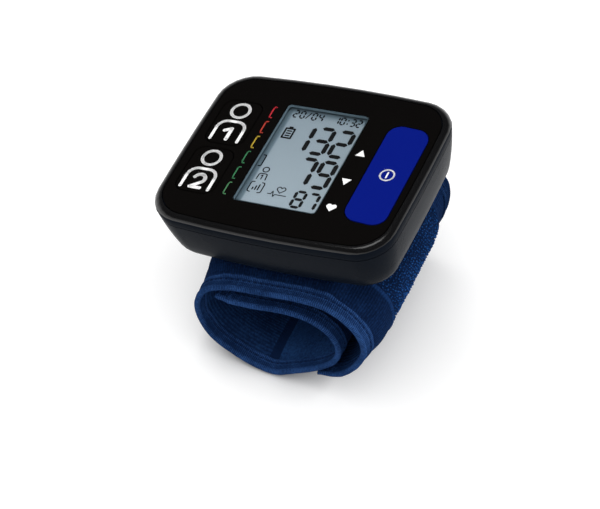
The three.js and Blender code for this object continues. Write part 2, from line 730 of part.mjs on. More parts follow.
// The strip's layers across its thickness, from the outer face to the inner face
const edgeFabric = 0.6;
const fabricThickness = 0.9;
const stiffenerThickness = 0.7;
const bladderThickness = 1.0;
const liningThickness = 0.5;
const hookThickness = 0.9;
const outerFullness = 1.9;
const innerFullness = 2.1;
const tapeWidth = 4.0;
const tapeWall = 0.5;
const tapeRound = 0.5;
const padMargin = 4.0;
const stiffenerLap = 5.0;
const stiffenerRoom = 0.7;
const bladderSetIn = 1.0;
const tapeSlot = edgeFabric / 2 + clearance;
const tapeOut = tapeSlot + tapeWall;
const liningInEdge = edgeFabric / 2 + clearance;

// Across the strip from its middle: stiffener, padded middle, lining, fabric and tape
const stiffenerHalf = cuffScrewY + stiffenerLap;
const padEdge = stiffenerHalf + stiffenerRoom;
const liningEdge = padEdge + padMargin;
const cuffHalf = liningEdge + clearance + tapeWidth;
const fabricEdge = cuffHalf - tapeWall - clearance;

// A place on the route: its centre, outward normal and the faces of the padded middle there
function station(along) {
  const centre = route.getPointAt(along);
  const tangent = route.getTangentAt(along);
  const outward = new THREE.Vector3(tangent.z, 0, -tangent.x);
  const fullness = valueAt(fullnessShares, along);
  const edgeOut = edgeFabric / 2;
  const edgeIn = liningInEdge + liningThickness;
  const padOut = edgeOut + (outerFullness - edgeOut) * fullness;
  const room = -housingDepth - clearance - centre.z;
  const seat = valueAt(seatShares, along);
  return {
    centre,
    tangent,
    outward,
    seat,
    outer: padOut + (room - padOut) * seat,
    inner: -edgeIn - (innerFullness - edgeIn) * fullness,
  };
}

// A body swept along the route, with its stations on one grid so that the layers stay parallel. The
// section gives [y, height] pairs, anticlockwise with y to the right and the outward side up, and the
// ring is turned round to suit the direction of travel.
function strip(start, end, sectionAt) {
  const inside = gridShares.filter((along) => along > start + leastStepShare && along < end - leastStepShare);
  const places = [start, ...inside, end];
  const rings = [];
  const flats = [];
  places.forEach((along) => {
    const place = station(along);
    const section = sectionAt(place).reverse();
    flats.push(section.map(([y, height]) => new THREE.Vector2(height, y)));
    rings.push(section.map(([y, height]) => place.centre.clone()
      .addScaledVector(place.outward, height).setY(y)));
  });
  return solidOf(loft(rings, flats[0], flats[flats.length - 1]));
}

function fabricUnder(place) {
  return Math.max(place.outer - fabricThickness, -edgeFabric / 2);
}

function fabricSection(place) {
  const half = edgeFabric / 2;
  const crown = Math.max(place.outer, half);
  const under = fabricUnder(place);
  return [
    [-fabricEdge, -half], [-liningEdge, -half], [-padEdge, under], [padEdge, under], [liningEdge, -half],
    [fabricEdge, -half], [fabricEdge, half], [liningEdge, half], [padEdge, crown], [-padEdge, crown],
    [-liningEdge, half], [-fabricEdge, half],
  ];
}

function liningSection(thickness) {
  return (place) => {
    const edgeTop = -liningInEdge;
    const edgeBottom = edgeTop - liningThickness;
    const padTop = Math.min(place.inner + thickness, fabricUnder(place) - clearance);
    return [
      [-liningEdge, edgeBottom], [-padEdge, place.inner], [padEdge, place.inner], [liningEdge, edgeBottom],
      [liningEdge, edgeTop], [padEdge, padTop], [-padEdge, padTop], [-liningEdge, edgeTop],
    ];
  };
}

function tapeSection(side) {
  const hem = tapeWidth - cuffHalf;
  const slot = tapeWall - cuffHalf;
  const round = tapeRound - cuffHalf;
  const points = [
    [hem, -tapeOut], [hem, -tapeSlot], [slot, -tapeSlot], [slot, tapeSlot], [hem, tapeSlot], [hem, tapeOut],
    [round, tapeOut], [-cuffHalf, tapeOut - tapeRound], [-cuffHalf, tapeRound - tapeOut], [round, -tapeOut],
  ];
  if (side < 0) return points;
  return points.map(([y, height]) => [-y, height]).reverse();
}

// The floor, in the face's own frame: up leans to the right by the standing tilt
const tilt = THREE.MathUtils.degToRad(standingTilt);
const up = new THREE.Vector3(Math.sin(tilt), 0, Math.cos(tilt));

// Stretches of the route, as shares of its length
const hingeGap = 0.6;
const flapEnd = flapLengthShare;
const mainStart = flapLengthShare + hingeGap / routeLength;
const tapeShare = tapeWidth / routeLength;
const gapShare = clearance / routeLength;
const slotShare = (tapeWall + clearance) / routeLength;

// The tape over one end of the strip: a straight channel across the whole width
function endTape(along, direction) {
  const place = station(along);
  const ahead = place.tangent.clone().multiplyScalar(direction);
  const corners = tapeSection(-1).map(([y, height]) => [-y - cuffHalf, height]);
  const rings = [-cuffHalf, cuffHalf].map((y) => corners.map(([distance, height]) => place.centre.clone()
    .addScaledVector(ahead, distance).addScaledVector(place.outward, height).setY(y)));
  const flats = rings.map((ring) => ring.map((point) => new THREE.Vector2(point.z, point.x)));
  const clockwise = THREE.ShapeUtils.isClockWise(flats[0]);
  if (clockwise) {
    rings.forEach((ring) => ring.reverse());
    flats.forEach((flat) => flat.reverse());
  }
  return solidOf(loft(rings, flats[0], flats[1]));
}

// Cuff body: outer fabric, cut flat where the monitor stands on it
const cuffHoles = cuffScrewPlaces.map(([x, y]) => [x, y, cuffScrewRadius]);
cuffHoles.push([airX, nozzleY, nozzleRadius]);

function pierced(solid) {
  let result = solid;
  cuffHoles.forEach(([x, y, radius]) => {
    const bottom = loopTop - liningInEdge - liningThickness;
    result = result.subtract(post(radius + clearance, housingDepth - overrun, bottom, x, y));
  });
  return result;
}

function lowestAlong(geometry) {
  const position = geometry.attributes.position;
  let lowest = Infinity;
  for (let i = 0; i < position.count; i += 1) {
    lowest = Math.min(lowest, new THREE.Vector3().fromBufferAttribute(position, i).dot(up));
  }
  return lowest;
}

function cutFlat(solid) {
  const level = lowestAlong(geometryOf(solid)) + flatDepth;
  const reach = 2 * housingWidth;
  const floor = new THREE.BoxGeometry(reach, reach, reach).translate(0, 0, level - reach / 2);
  return solid.subtract(solidOf(floor.rotateY(tilt)));
}

const wholeEnd = 1 - slotShare;
addPiece('cuff_fabric', geometryOf(cutFlat(pierced(strip(mainStart, wholeEnd, fabricSection)))), fabricNavy);
addPiece('cuff_lining', geometryOf(
  strip(mainStart, 1 - tapeShare - gapShare, liningSection(liningThickness)),
), liningNavy);

// Stiffener: a thin springy sheet that keeps the curl
function stiffenerSection(place) {
  const top = place.outer - fabricThickness - clearance;
  const bottom = top - stiffenerThickness;
  return [[-stiffenerHalf, bottom], [stiffenerHalf, bottom], [stiffenerHalf, top], [-stiffenerHalf, top]];
}
addPiece('cuff_stiffener', geometryOf(
  pierced(strip(stiffenerStartShare, stiffenerEndShare, stiffenerSection)),
), stiffenerWhite);

// Air bladder under the stiffener, deeper below the screw heads
function bladderSection(place) {
  const half = stiffenerHalf - bladderSetIn;
  const round = bladderThickness / 2;
  const below = fabricThickness + stiffenerThickness + 2 * clearance;
  const heads = cuffScrewHeadHeight + clearance;
  const top = place.outer - below - heads * place.seat;
  const bottom = top - bladderThickness;
  return [
    [-half + round, bottom], [half - round, bottom], [half, bottom + round], [half - round, top],
    [-half + round, top], [-half, bottom + round],
  ];
}
addPiece('air_bladder', geometryOf(strip(bladderStartShare, bladderEndShare, bladderSection)), bladderGrey);

// Cuff screws and the nozzle that joins the bladder to the manifold
const headDepth = housingDepth + 3 * clearance + fabricThickness + stiffenerThickness;
cuffScrewPlaces.forEach(([x, y], i) => {
  const headBottom = headDepth + cuffScrewHeadHeight;
  addPiece(`cuff_screw_${i + 1}`, geometryOf(
    post(cuffScrewHeadRadius, headDepth, headBottom, x, y)
      .add(post(cuffScrewRadius, cuffBossDepth + bayWall + clearance, headBottom, x, y)),
  ), steel);
});

const nozzleFlangeRadius = 4.0;
addPiece('air_nozzle', geometryOf(
  post(nozzleFlangeRadius, headDepth, headDepth + cuffScrewHeadHeight, airX, nozzleY)
    .add(post(nozzleRadius, nozzleTop, headDepth + cuffScrewHeadHeight, airX, nozzleY))
    .subtract(post(channelRadius, nozzleTop - overrun, headDepth + overrun, airX, nozzleY)),
), bladderGrey);

// Binding tape along both edges and over the inner end
const innerTapeStart = 1 - tapeShare;
[['front', -1], ['back', 1]].forEach(([name, side]) => {
  addPiece(`cuff_binding_${name}`, geometryOf(
    strip(mainStart, innerTapeStart - gapShare, () => tapeSection(side)),
  ), tapeBlue);
});
addPiece('cuff_binding_end', geometryOf(endTape(1, 1)), tapeBlue);

// Flap: the free end of the strip, with its hook lining and its own binding
addPiece('flap_fabric', geometryOf(strip(slotShare, flapEnd, fabricSection)), fabricNavy);
addPiece('flap_lining', geometryOf(
  strip(tapeShare + gapShare, flapEnd, liningSection(hookThickness)),
), liningNavy);
[['front', -1], ['back', 1]].forEach(([name, side]) => {
  addPiece(`flap_binding_${name}`, geometryOf(
    strip(tapeShare + gapShare, flapEnd, () => tapeSection(side)),
  ), tapeBlue);
});
addPiece('flap_binding_end', geometryOf(endTape(0, -1)), tapeBlue);

// Standing pose: tip the monitor, then set the middle of its footprint on the origin
monitor.rotation.y = -tilt;
monitor.updateMatrixWorld(true);
const bounds = new THREE.Box3().setFromObject(monitor, true);
const middle = bounds.getCenter(new THREE.Vector3());
monitor.position.set(-middle.x, -middle.y, -bounds.min.z);

export default monitor;
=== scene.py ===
from math import atan2, copysign, cos, pi, radians, sin

import bmesh
import bpy
import numpy as np
from mathutils import Matrix, Vector, noise


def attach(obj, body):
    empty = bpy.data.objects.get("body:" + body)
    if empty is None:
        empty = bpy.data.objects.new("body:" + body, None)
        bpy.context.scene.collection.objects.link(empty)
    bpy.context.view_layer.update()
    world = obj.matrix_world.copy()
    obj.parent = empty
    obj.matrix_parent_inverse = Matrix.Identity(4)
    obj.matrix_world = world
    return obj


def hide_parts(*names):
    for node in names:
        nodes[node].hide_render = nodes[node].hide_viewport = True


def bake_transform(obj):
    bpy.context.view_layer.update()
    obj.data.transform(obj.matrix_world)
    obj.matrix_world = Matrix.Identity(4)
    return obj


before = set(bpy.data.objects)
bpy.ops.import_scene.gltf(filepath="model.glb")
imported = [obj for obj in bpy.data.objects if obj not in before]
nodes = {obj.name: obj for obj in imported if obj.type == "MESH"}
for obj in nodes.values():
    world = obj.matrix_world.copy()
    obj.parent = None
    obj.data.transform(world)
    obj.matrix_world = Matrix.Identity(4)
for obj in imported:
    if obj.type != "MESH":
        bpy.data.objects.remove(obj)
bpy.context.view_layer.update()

scene = bpy.context.scene

# Camera: a long lens above and to the right of the monitor's lower edge, turned so that the
# whole face and the open end of the cuff show. It has no shift and no depth of field.
camera_place = (0.15833, -0.35897, 0.51833)
camera_right = Vector((0.91372, 0.40635, 0.0))
camera_up = Vector((-0.31926, 0.71785, 0.61867))
camera_back = Vector((0.25137, -0.56530, 0.78565))
camera_lens = 126.3
camera_film = 36.0

camera_data = bpy.data.cameras.new("camera")
camera_data.lens = camera_lens
camera_data.sensor_width = camera_film
camera_data.sensor_fit = "HORIZONTAL"
camera = bpy.data.objects.new("camera", camera_data)
turned = Matrix((camera_right, camera_up, camera_back)).transposed()
camera.matrix_world = Matrix.Translation(camera_place) @ turned.to_4x4()
scene.collection.objects.link(camera)
scene.camera = camera
scene.view_settings.view_transform = "Standard"

# Studio: a pale floor that keeps the monitor's soft shadow, a pale surround that is brighter on
# the right than in front, with a dark ceiling for gloss to mirror, and three soft lamps above.
# The shadow is deep beside the cuff, wide under the housing, and opens towards the front.
floor_half = 3.0
floor_drop = 0.0002
floor_colour = (0.70, 0.70, 0.70, 1.0)
floor_roughness = 0.9
floor_gloss = 0.1
floor_white = 0.50
white_from, white_to = 0.15, 0.60
contact_reach = 0.010
contact_depth = 1.6
under_reach = 0.040
open_side = (0.50, -1.15, 1.0)
surround_bright = 0.55
surround_dim = 0.10
bright_side = (0.45, 0.30, 0.84)
dim_until, bright_from = -0.3, 0.9
ceiling_from, ceiling_to, ceiling_dark = 0.22, 0.50, 0.015
pure_white = (1.0, 1.0, 1.0, 1.0)
lamps_aim_at = Vector((0.0, 0.0, 0.04))
# name, place, size, power, and whether gloss mirrors it
lamps = [
    ("rim_lamp", (-0.33, 0.25, 1.05), 0.40, 1.7, True),
    ("top_lamp", (-0.16, -0.26, 1.12), 1.30, 8.8, False),
    ("side_lamp", (0.80, 0.20, 0.35), 0.60, 1.7, False),
]


def new_material(name):
    material = bpy.data.materials.new(name)
    material.use_nodes = True
    return material, material.node_tree, material.node_tree.nodes["Principled BSDF"]


def set_inputs(node, values):
    """Gives a node's inputs, by name or number, plain values or what other nodes put out."""
    for key, value in values.items():
        if isinstance(value, bpy.types.NodeSocket):
            node.id_data.links.new(value, node.inputs[key])
        else:
            node.inputs[key].default_value = value
    return node


def add_node(tree, kind, values=None):
    return set_inputs(tree.nodes.new(f"ShaderNode{kind}"), values or {})


def math_node(tree, operation, *values):
    """One step of arithmetic on numbers and on what other nodes put out."""
    node = add_node(tree, "Math", dict(enumerate(values)))
    node.operation = operation
    return node.outputs[0]


def map_range(tree, value, low, high, to_low, to_high):
    """A value's place between low and high, brought smoothly between two other ends."""
    ends = {"From Min": low, "From Max": high, "To Min": to_low, "To Max": to_high}
    node = add_node(tree, "MapRange", {"Value": value, **ends})
    node.interpolation_type = "SMOOTHSTEP"
    return node.outputs["Result"]


def seen_white(tree):
    """1 where the camera, a mirror or a glass looks, and 1 only where the last two look."""
    path = add_node(tree, "LightPath").outputs
    glossy = math_node(tree, "MAXIMUM", path["Is Glossy Ray"], path["Is Transmission Ray"])
    return math_node(tree, "MAXIMUM", path["Is Camera Ray"], glossy), glossy


world = bpy.data.worlds.new("surround")
scene.world = world
world.use_nodes = True
sky = world.node_tree
seen, glossy = seen_white(sky)
direction = add_node(sky, "TexCoord").outputs["Generated"]
side_share = add_node(sky, "VectorMath", {0: direction, 1: bright_side})
side_share.operation = "DOT_PRODUCT"
lit = map_range(
    sky, side_share.outputs["Value"], dim_until, bright_from, surround_dim, surround_bright)
height = add_node(sky, "SeparateXYZ", {0: direction}).outputs["Z"]
ceiling = map_range(sky, height, ceiling_from, ceiling_to, 1.0, ceiling_dark)
shown = math_node(sky, "MULTIPLY", seen, ceiling)
shown = math_node(sky, "MAXIMUM", shown, math_node(sky, "SUBTRACT", seen, glossy))
plain = math_node(sky, "MULTIPLY", lit, math_node(sky, "SUBTRACT", 1.0, seen))
set_inputs(sky.nodes["Background"], {
    "Color": pure_white, "Strength": math_node(sky, "ADD", shown, plain)})

floor_material, ground, floor_shader = new_material("white_floor")
contact = add_node(ground, "AmbientOcclusion", {"Distance": contact_reach}).outputs["AO"]
contact_share = math_node(ground, "POWER", contact, contact_depth)
towards_front = add_node(ground, "VectorMath", {0: open_side})
towards_front.operation = "NORMALIZE"
under = add_node(ground, "AmbientOcclusion", {
    "Distance": under_reach, "Normal": towards_front.outputs[0]})
floor_shadow = math_node(ground, "MULTIPLY", contact_share, under.outputs["AO"])
floor_shown = math_node(ground, "MULTIPLY", floor_shadow, seen_white(ground)[0])
floor_place = add_node(ground, "TexCoord").outputs["Object"]
from_middle = add_node(ground, "VectorMath", {0: floor_place})
from_middle.operation = "LENGTH"
far_white = map_range(
    ground, from_middle.outputs["Value"], white_from, white_to, floor_white, 1.0)
set_inputs(floor_shader, {
    "Base Color": floor_colour, "Roughness": floor_roughness,
    "Specular IOR Level": floor_gloss, "Emission Color": pure_white,
    "Emission Strength": math_node(ground, "MULTIPLY", floor_shown, far_white)})
bm = bmesh.new()
bmesh.ops.create_grid(bm, x_segments=1, y_segments=1, size=floor_half)
bmesh.ops.translate(bm, verts=bm.verts, vec=(0, 0, -floor_drop))
floor_mesh = bpy.data.meshes.new("floor")
bm.to_mesh(floor_mesh)
bm.free()
floor = bpy.data.objects.new("floor", floor_mesh)
floor_mesh.materials.append(floor_material)
scene.collection.objects.link(floor)

for lamp_name, lamp_place, lamp_size, lamp_power, mirrored in lamps:
    lamp_data = bpy.data.lights.new(lamp_name, "AREA")
    lamp_data.energy = lamp_power
    lamp_data.size = lamp_size
    lamp = bpy.data.objects.new(lamp_name, lamp_data)
    lamp.location = lamp_place
    lamp.visible_glossy = mirrored
    aim = lamps_aim_at - Vector(lamp_place)
    lamp.rotation_euler = aim.to_track_quat("-Z", "Y").to_euler()
    scene.collection.objects.link(lamp)

# Rear cover: the tapered lower shell, moulded in charcoal plastic with a fine matt grain. Its
# own solid has the true shape, so it only gets smooth shading over the facets and its finish.
charcoal = (0.0060, 0.0088, 0.0145, 1.0)
shell_roughness = 0.28
shell_gloss = 0.012
shell_tint = (0.80, 0.92, 1.0, 1.0)
grain_size = 0.00022
patch_scale = 45.0
weld_reach = 0.000002
facet_angle = radians(28)


def noise_on(tree, scale, detail=4.0):
    """A fine unevenness that sits still on its piece."""
    place = add_node(tree, "TexCoord").outputs["Object"]
    texture = add_node(tree, "TexNoise", {"Vector": place, "Scale": scale, "Detail": detail})
    return texture.outputs["Fac"]


def colour_mix(tree, share, first, second):
    node = add_node(tree, "Mix")
    node.data_type = "RGBA"
    return set_inputs(node, {0: share, 6: first, 7: second})


def moulded(name, colour, roughness, grain, spread=0.12, depth=0.00002, specular=0.5):
    """Moulded plastic: a fine grain in relief and a slow drift of colour and roughness."""
    material, tree, shader = new_material(name)
    fine = noise_on(tree, 1.0 / grain, 3.0)
    slow = noise_on(tree, patch_scale)
    darker, paler = ([c * (1 + way * spread) for c in colour[:3]] + [1.0] for way in (-1, 1))
    rough = add_node(tree, "MapRange", {
        "Value": slow, "To Min": roughness * (1 - spread), "To Max": roughness * (1 + spread)})
    relief = add_node(tree, "Bump", {"Strength": 0.5, "Distance": depth, "Height": fine})
    set_inputs(shader, {
        "Base Color": colour_mix(tree, slow, darker, paler).outputs[2],
        "Roughness": rough.outputs["Result"], "Normal": relief.outputs["Normal"],
        "Specular IOR Level": specular})
    return material


def dress(node, material):
    """Gives a CAD node a finish, and shades its facets smoothly between its sharp edges."""
    piece = nodes[node]
    piece.data.materials.clear()
    piece.data.materials.append(material)
    for face in piece.data.polygons:
        face.material_index = 0
    piece.data.shade_smooth()
    weld = piece.modifiers.new("weld", "WELD")
    weld.merge_threshold = weld_reach
    split = piece.modifiers.new("split", "EDGE_SPLIT")
    split.split_angle = facet_angle
    return piece


shell_plastic = moulded(
    "charcoal_plastic", charcoal, shell_roughness, grain_size, specular=shell_gloss)
set_inputs(shell_plastic.node_tree.nodes["Principled BSDF"], {"Specular Tint": shell_tint})
dress("rear_cover", shell_plastic)

# Battery cover: the sliding piece of the left wall, in the same charcoal plastic as the shell
# round it, with four moulded ridges for the thumb.
dress("battery_cover", shell_plastic)

# Front cover: the upper shell. Its top is polished black plastic with a rounded shoulder, down
# to a fine edge a millimetre below the face, and under that edge it has the shell's own grain.
rim_black = (0.006, 0.006, 0.0065, 1.0)
rim_roughness = 0.17
rim_grain = 0.0006
rim_relief = 0.000002
polished_depth = 0.00105
face_tilt = radians(12.82)
face_middle = (-0.00072689, 0.0, 0.06391112)
face_to_row = Matrix.Translation(face_middle) @ Matrix.Rotation(-face_tilt, 4, "Y")
row_to_face = face_to_row.inverted()
rim_plastic = moulded("black_rim", rim_black, rim_roughness, rim_grain, depth=rim_relief)
rim = dress("front_cover", rim_plastic)
rim.data.materials.append(shell_plastic)
for face in rim.data.polygons:
    if (row_to_face @ face.center).z < -polished_depth:
        face.material_index = 1

# Face panel: one plate of glossy black plastic, flush in the rim, with openings for the window
# and for the three keys.
panel_black = (0.0035, 0.003, 0.0028, 1.0)
panel_roughness = 0.06
panel_grain = 0.0008
panel_relief = 0.0000006
panel_gloss = moulded(
    "panel_gloss", panel_black, panel_roughness, panel_grain, depth=panel_relief)
dress("face_panel", panel_gloss)

# Inner parts: screws, board, pump and cells, each in its usual finish. They hardly show, but
# the cells do when the battery cover is slid off.
# finish: colour, roughness, grain, metal share, and the pieces that have it
inner_finishes = {
    "steel_parts": ((0.55, 0.56, 0.58, 1.0), 0.32, 0.0003, 1.0, [
        "start_stop_switch", "user_1_switch", "user_2_switch", "pump_motor",
        "housing_screw_1", "housing_screw_2", "battery_contact_1", "battery_contact_2",
        "battery_spring_1", "battery_spring_2",
        "cuff_screw_1", "cuff_screw_2", "cuff_screw_3", "cuff_screw_4"]),
    "black_parts": ((0.012, 0.012, 0.013, 1.0), 0.45, 0.0003, 0.0, [
        "display_frame", "pressure_sensor", "pump_head"]),
    "brass_parts": ((0.45, 0.30, 0.09, 1.0), 0.35, 0.0003, 1.0, ["release_valve"]),
    "board_green": ((0.008, 0.09, 0.03, 1.0), 0.4, 0.0005, 0.0, ["circuit_board"]),
    "clear_parts": ((0.65, 0.66, 0.62, 1.0), 0.3, 0.0004, 0.0, ["air_manifold", "air_hose"]),
    "cell_jackets": ((0.03, 0.14, 0.05, 1.0), 0.3, 0.0005, 0.0, ["battery_1", "battery_2"]),
    "bladder_grey": ((0.09, 0.10, 0.11, 1.0), 0.6, 0.0004, 0.0, ["air_nozzle", "air_bladder"]),
    "stiffener_white": ((0.55, 0.56, 0.55, 1.0), 0.4, 0.0006, 0.0, ["cuff_stiffener"]),
}
for finish, (colour, roughness, grain, metal, members) in inner_finishes.items():
    inner_material = moulded(finish, colour, roughness, grain)
    set_inputs(inner_material.node_tree.nodes["Principled BSDF"], {"Metallic": metal})
    for member in members:
        dress(member, inner_material)

# Start key and user keys: glossy caps flush with the panel, deep blue for start and black for
# the two users, each with its sign printed in white.
key_blue = (0.0022, 0.0103, 0.2158, 1.0)
key_roughness = 0.16
key_spread = 0.04
key_relief = 0.000001
key_gloss = 0.2
blue_gloss = moulded(
    "key_blue", key_blue, key_roughness, panel_grain, key_spread, key_relief, key_gloss)
dress("start_stop_button", blue_gloss)
user_gloss = moulded("key_black", panel_black, panel_roughness, panel_grain, depth=panel_relief)
dress("user_1_button", user_gloss)
dress("user_2_button", user_gloss)

# Prints on the face: thin white and coloured ink on the panel and the keys. Places are in
# millimetres on the face, whose middle is the housing's, x to the right and y up.
MM = 0.001
ink_thickness = 0.03
ink_white = (1.0, 1.0, 1.0, 1.0)
ink_roughness = 0.5
ink_grain = 0.0002
ink_spread = 0.04
ink_relief = 0.000003
ink_gloss = 0.15


def ink(name, colour):
    """Screen-printed ink, a little uneven."""
    return moulded(name, colour, ink_roughness, ink_grain, ink_spread, ink_relief, ink_gloss)


def finished(name, bm, material, body):
    """Makes a piece of a mesh in metres on the row frame, links it, and rides it on a body."""
    mesh = bpy.data.meshes.new(name)
    bm.to_mesh(mesh)
    bm.free()
    mesh.materials.append(material)
    piece = bpy.data.objects.new(name, mesh)
    scene.collection.objects.link(piece)
    if body:
        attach(piece, body)
    return piece


def place_on_face(bm, depth=0.0):
    """Brings flat print from millimetres on the face to its place on the monitor."""
    bmesh.ops.scale(bm, vec=(MM, MM, MM), verts=bm.verts)
    bmesh.ops.translate(bm, vec=(0, 0, -depth * MM), verts=bm.verts)
    bmesh.ops.transform(bm, matrix=face_to_row, verts=bm.verts)


def stroke(bm, points, width, closed=False):
    """A flat line of even width with round joints, in millimetres, lying on z = 0."""
    for place, after in zip(points, points[1:] + (points[:1] if closed else [])):
        along = Vector(after) - Vector(place)
        made = bmesh.ops.create_grid(bm, x_segments=1, y_segments=1, size=0.5)["verts"]
        bmesh.ops.scale(bm, vec=(along.length, width, 1), verts=made)
        turn = Matrix.Rotation(atan2(along.y, along.x), 3, "Z")
        bmesh.ops.rotate(bm, matrix=turn, verts=made)
        middle = (Vector(place) + Vector(after)) / 2
        bmesh.ops.translate(bm, vec=(middle.x, middle.y, 0), verts=made)
    for place in points:
        dot(bm, place, width / 2)


def dot(bm, place, radius):
    made = bmesh.ops.create_circle(bm, cap_ends=True, segments=20, radius=radius)["verts"]
    bmesh.ops.translate(bm, vec=(place[0], place[1], 0), verts=made)


def arc(centre, radius, start, end, steps=24):
    return [
        (centre[0] + radius * cos(radians(start + (end - start) * i / steps)),
         centre[1] + radius * sin(radians(start + (end - start) * i / steps)))
        for i in range(steps + 1)
    ]


def raise_ink(bm):
    """Gives flat print its thickness, upwards from the surface it lies on."""
    for face in bm.faces[:]:
        low = face.verts[:]
        high = [bm.verts.new(vertex.co + Vector((0, 0, ink_thickness))) for vertex in low]
        bm.faces.new(high)
        for i in range(len(low)):
            bm.faces.new((low[i - 1], low[i], high[i], high[i - 1]))
    bmesh.ops.recalc_face_normals(bm, faces=bm.faces)


white_ink = ink("white_ink", ink_white)
user_sign_width = 0.95
ring_radius = 2.8
arch_radius = 3.0
figure_width = 1.15
figure_one = [(-27.9, 5.75), (-26.2, 6.75), (-25.95, 6.75), (-25.95, 2.4)]
figure_two = ([(-28.15, -13.7)] + arc((-26.45, -14.15), 1.7, 165, -40, 16)
              + [(-28.05, -17.6), (-24.85, -17.6)])
user_signs = {
    "user_1_sign": (figure_one, (-26.6, 14.25), (-31.0, -22.1, 1.9, 9.7), "user_1_key"),
    "user_2_sign": (figure_two, (-26.6, -5.6), (-31.0, -22.0, -17.9, -10.2), "user_2_key"),
}
for sign, (figure, head, (left, right, bottom, top), body) in user_signs.items():
    bm = bmesh.new()
    stroke(bm, figure, figure_width)
    stroke(bm, arc(head, ring_radius, 0, 350, 36), user_sign_width, closed=True)
    round_left = arc((left + arch_radius, top - arch_radius), arch_radius, 180, 90, 10)
    round_right = arc((right - arch_radius, top - arch_radius), arch_radius, 90, 0, 10)
    stroke(bm, [(left, bottom)] + round_left + round_right + [(right, bottom)], user_sign_width)
    raise_ink(bm)
    place_on_face(bm)
    finished(sign, bm, white_ink, body)

power_x, power_y = 27.02, -0.67
power_radius = 2.05
power_bar = 1.0
power_width = 0.5
bm = bmesh.new()
stroke(bm, arc((power_x, power_y), power_radius, 0, 350, 36), power_width, closed=True)
stroke(bm, [(power_x, power_y - power_bar), (power_x, power_y + power_bar)], power_width)
raise_ink(bm)
place_on_face(bm)
finished("start_sign", bm, white_ink, "start_stop_key")

# signs beside the three rows: up for the higher pressure, down for the lower, a heart for pulse
sign_x = 16.3
row_signs = {"up": 5.7, "down": -5.7, "heart": -15.9}
bm = bmesh.new()
for shape, sign_y in row_signs.items():
    if shape == "heart":
        corners = ([(0.0, -1.55)] + arc((0.72, 0.4), 0.83, -35, 148, 10)
                   + arc((-0.72, 0.4), 0.83, 32, 215, 10))
    else:
        up = 1 if shape == "up" else -1
        corners = [(-1.5, -1.1 * up), (1.5, -1.1 * up), (0.0, 1.35 * up)][::up]
    bm.faces.new([bm.verts.new((sign_x + x, sign_y + y, 0)) for x, y in corners])
raise_ink(bm)
place_on_face(bm)
finished("row_signs", bm, white_ink, "monitor")

# the coloured scale: one bracket for each range, with its top and bottom
scale_width = 0.42
scale_colours = [
    ("scale_red", (18.0, 13.6), (0.52, 0.022, 0.035, 1.0)),
    ("scale_orange", (11.9, 7.2), (0.50, 0.048, 0.030, 1.0)),
    ("scale_yellow", (5.6, 0.9), (0.52, 0.36, 0.035, 1.0)),
    ("scale_green_1", (-0.7, -5.4), (0.040, 0.20, 0.085, 1.0)),
    ("scale_green_2", (-7.1, -11.8), (0.040, 0.20, 0.085, 1.0)),
    ("scale_green_3", (-13.4, -18.0), (0.068, 0.22, 0.095, 1.0)),
]
for scale_name, (top, bottom), colour in scale_colours:
    bm = bmesh.new()
    stroke(bm, [(-16.3, top), (-16.75, top), (-17.0, top - 0.5), (-17.0, bottom + 0.5),
                (-16.75, bottom), (-16.2, bottom)], scale_width)
    raise_ink(bm)
    place_on_face(bm)
    finished(scale_name, bm, ink(scale_name + "_ink", colour), "monitor")

# Display: a clear window over a grey-green cell, with upright black figures in the glass. The
# cell is paler towards its lower edge, and it carries a painted shadow of the window's left and
# top edges.
cell_grey = (0.275, 0.35, 0.405, 1.0)
cell_pale = (0.345, 0.43, 0.49, 1.0)
cell_painted_shade = (0.125, 0.19, 0.235, 1.0)
figure_black = (0.003, 0.003, 0.0035, 1.0)
pane_black = (0.02, 0.02, 0.02, 1.0)
pane_alpha = 0.02
haze_scale = 90.0
haze_low, haze_high = 0.02, 0.06
cell_reflection_grey = (0.17, 0.25, 0.30, 1.0)
edge_roughness = 0.4
edge_grain = 0.0003
painted_shade_left = (0.0011, 0.0018)
painted_shade_top = (0.0176, 0.0202)
painted_shade_top_share = 0.85
pale_half = 0.018
lip_middle = (-1.45, 0.4)
lip_half = (13.2, 19.9)
lip_bottom, lip_top = -2.4, -1.0
glass_depth = 2.2

window_material, pane_tree, window_shader = new_material("window_clear")
haze = noise_on(pane_tree, haze_scale, 2.0)
set_inputs(window_shader, {
    "Base Color": pane_black, "Alpha": pane_alpha,
    "Roughness": map_range(pane_tree, haze, 0.0, 1.0, haze_low, haze_high)})


def stands_upright(face):
    """Whether a facet of a CAD piece faces sideways, seen from the face's front."""
    return abs((row_to_face.to_3x3() @ face.normal).z) < 0.5


pane = dress("display_window", window_material)
# The pane's upright edges and the rim's lip round the window are coloured grey-blue instead of
# their own black: a painted reflection of the cell.
cell_reflection_material = moulded("window_edge_painted_reflection", cell_reflection_grey, edge_roughness, edge_grain)
pane.data.materials.append(cell_reflection_material)
for face in pane.data.polygons:
    if stands_upright(face):
        face.material_index = 1
rim.data.materials.append(cell_reflection_material)
for face in rim.data.polygons:
    spot = (row_to_face @ face.center) / MM
    in_lip = all(abs(spot[k] - lip_middle[k]) < lip_half[k] for k in (0, 1))
    if in_lip and lip_bottom < spot.z < lip_top and stands_upright(face):
        face.material_index = 2

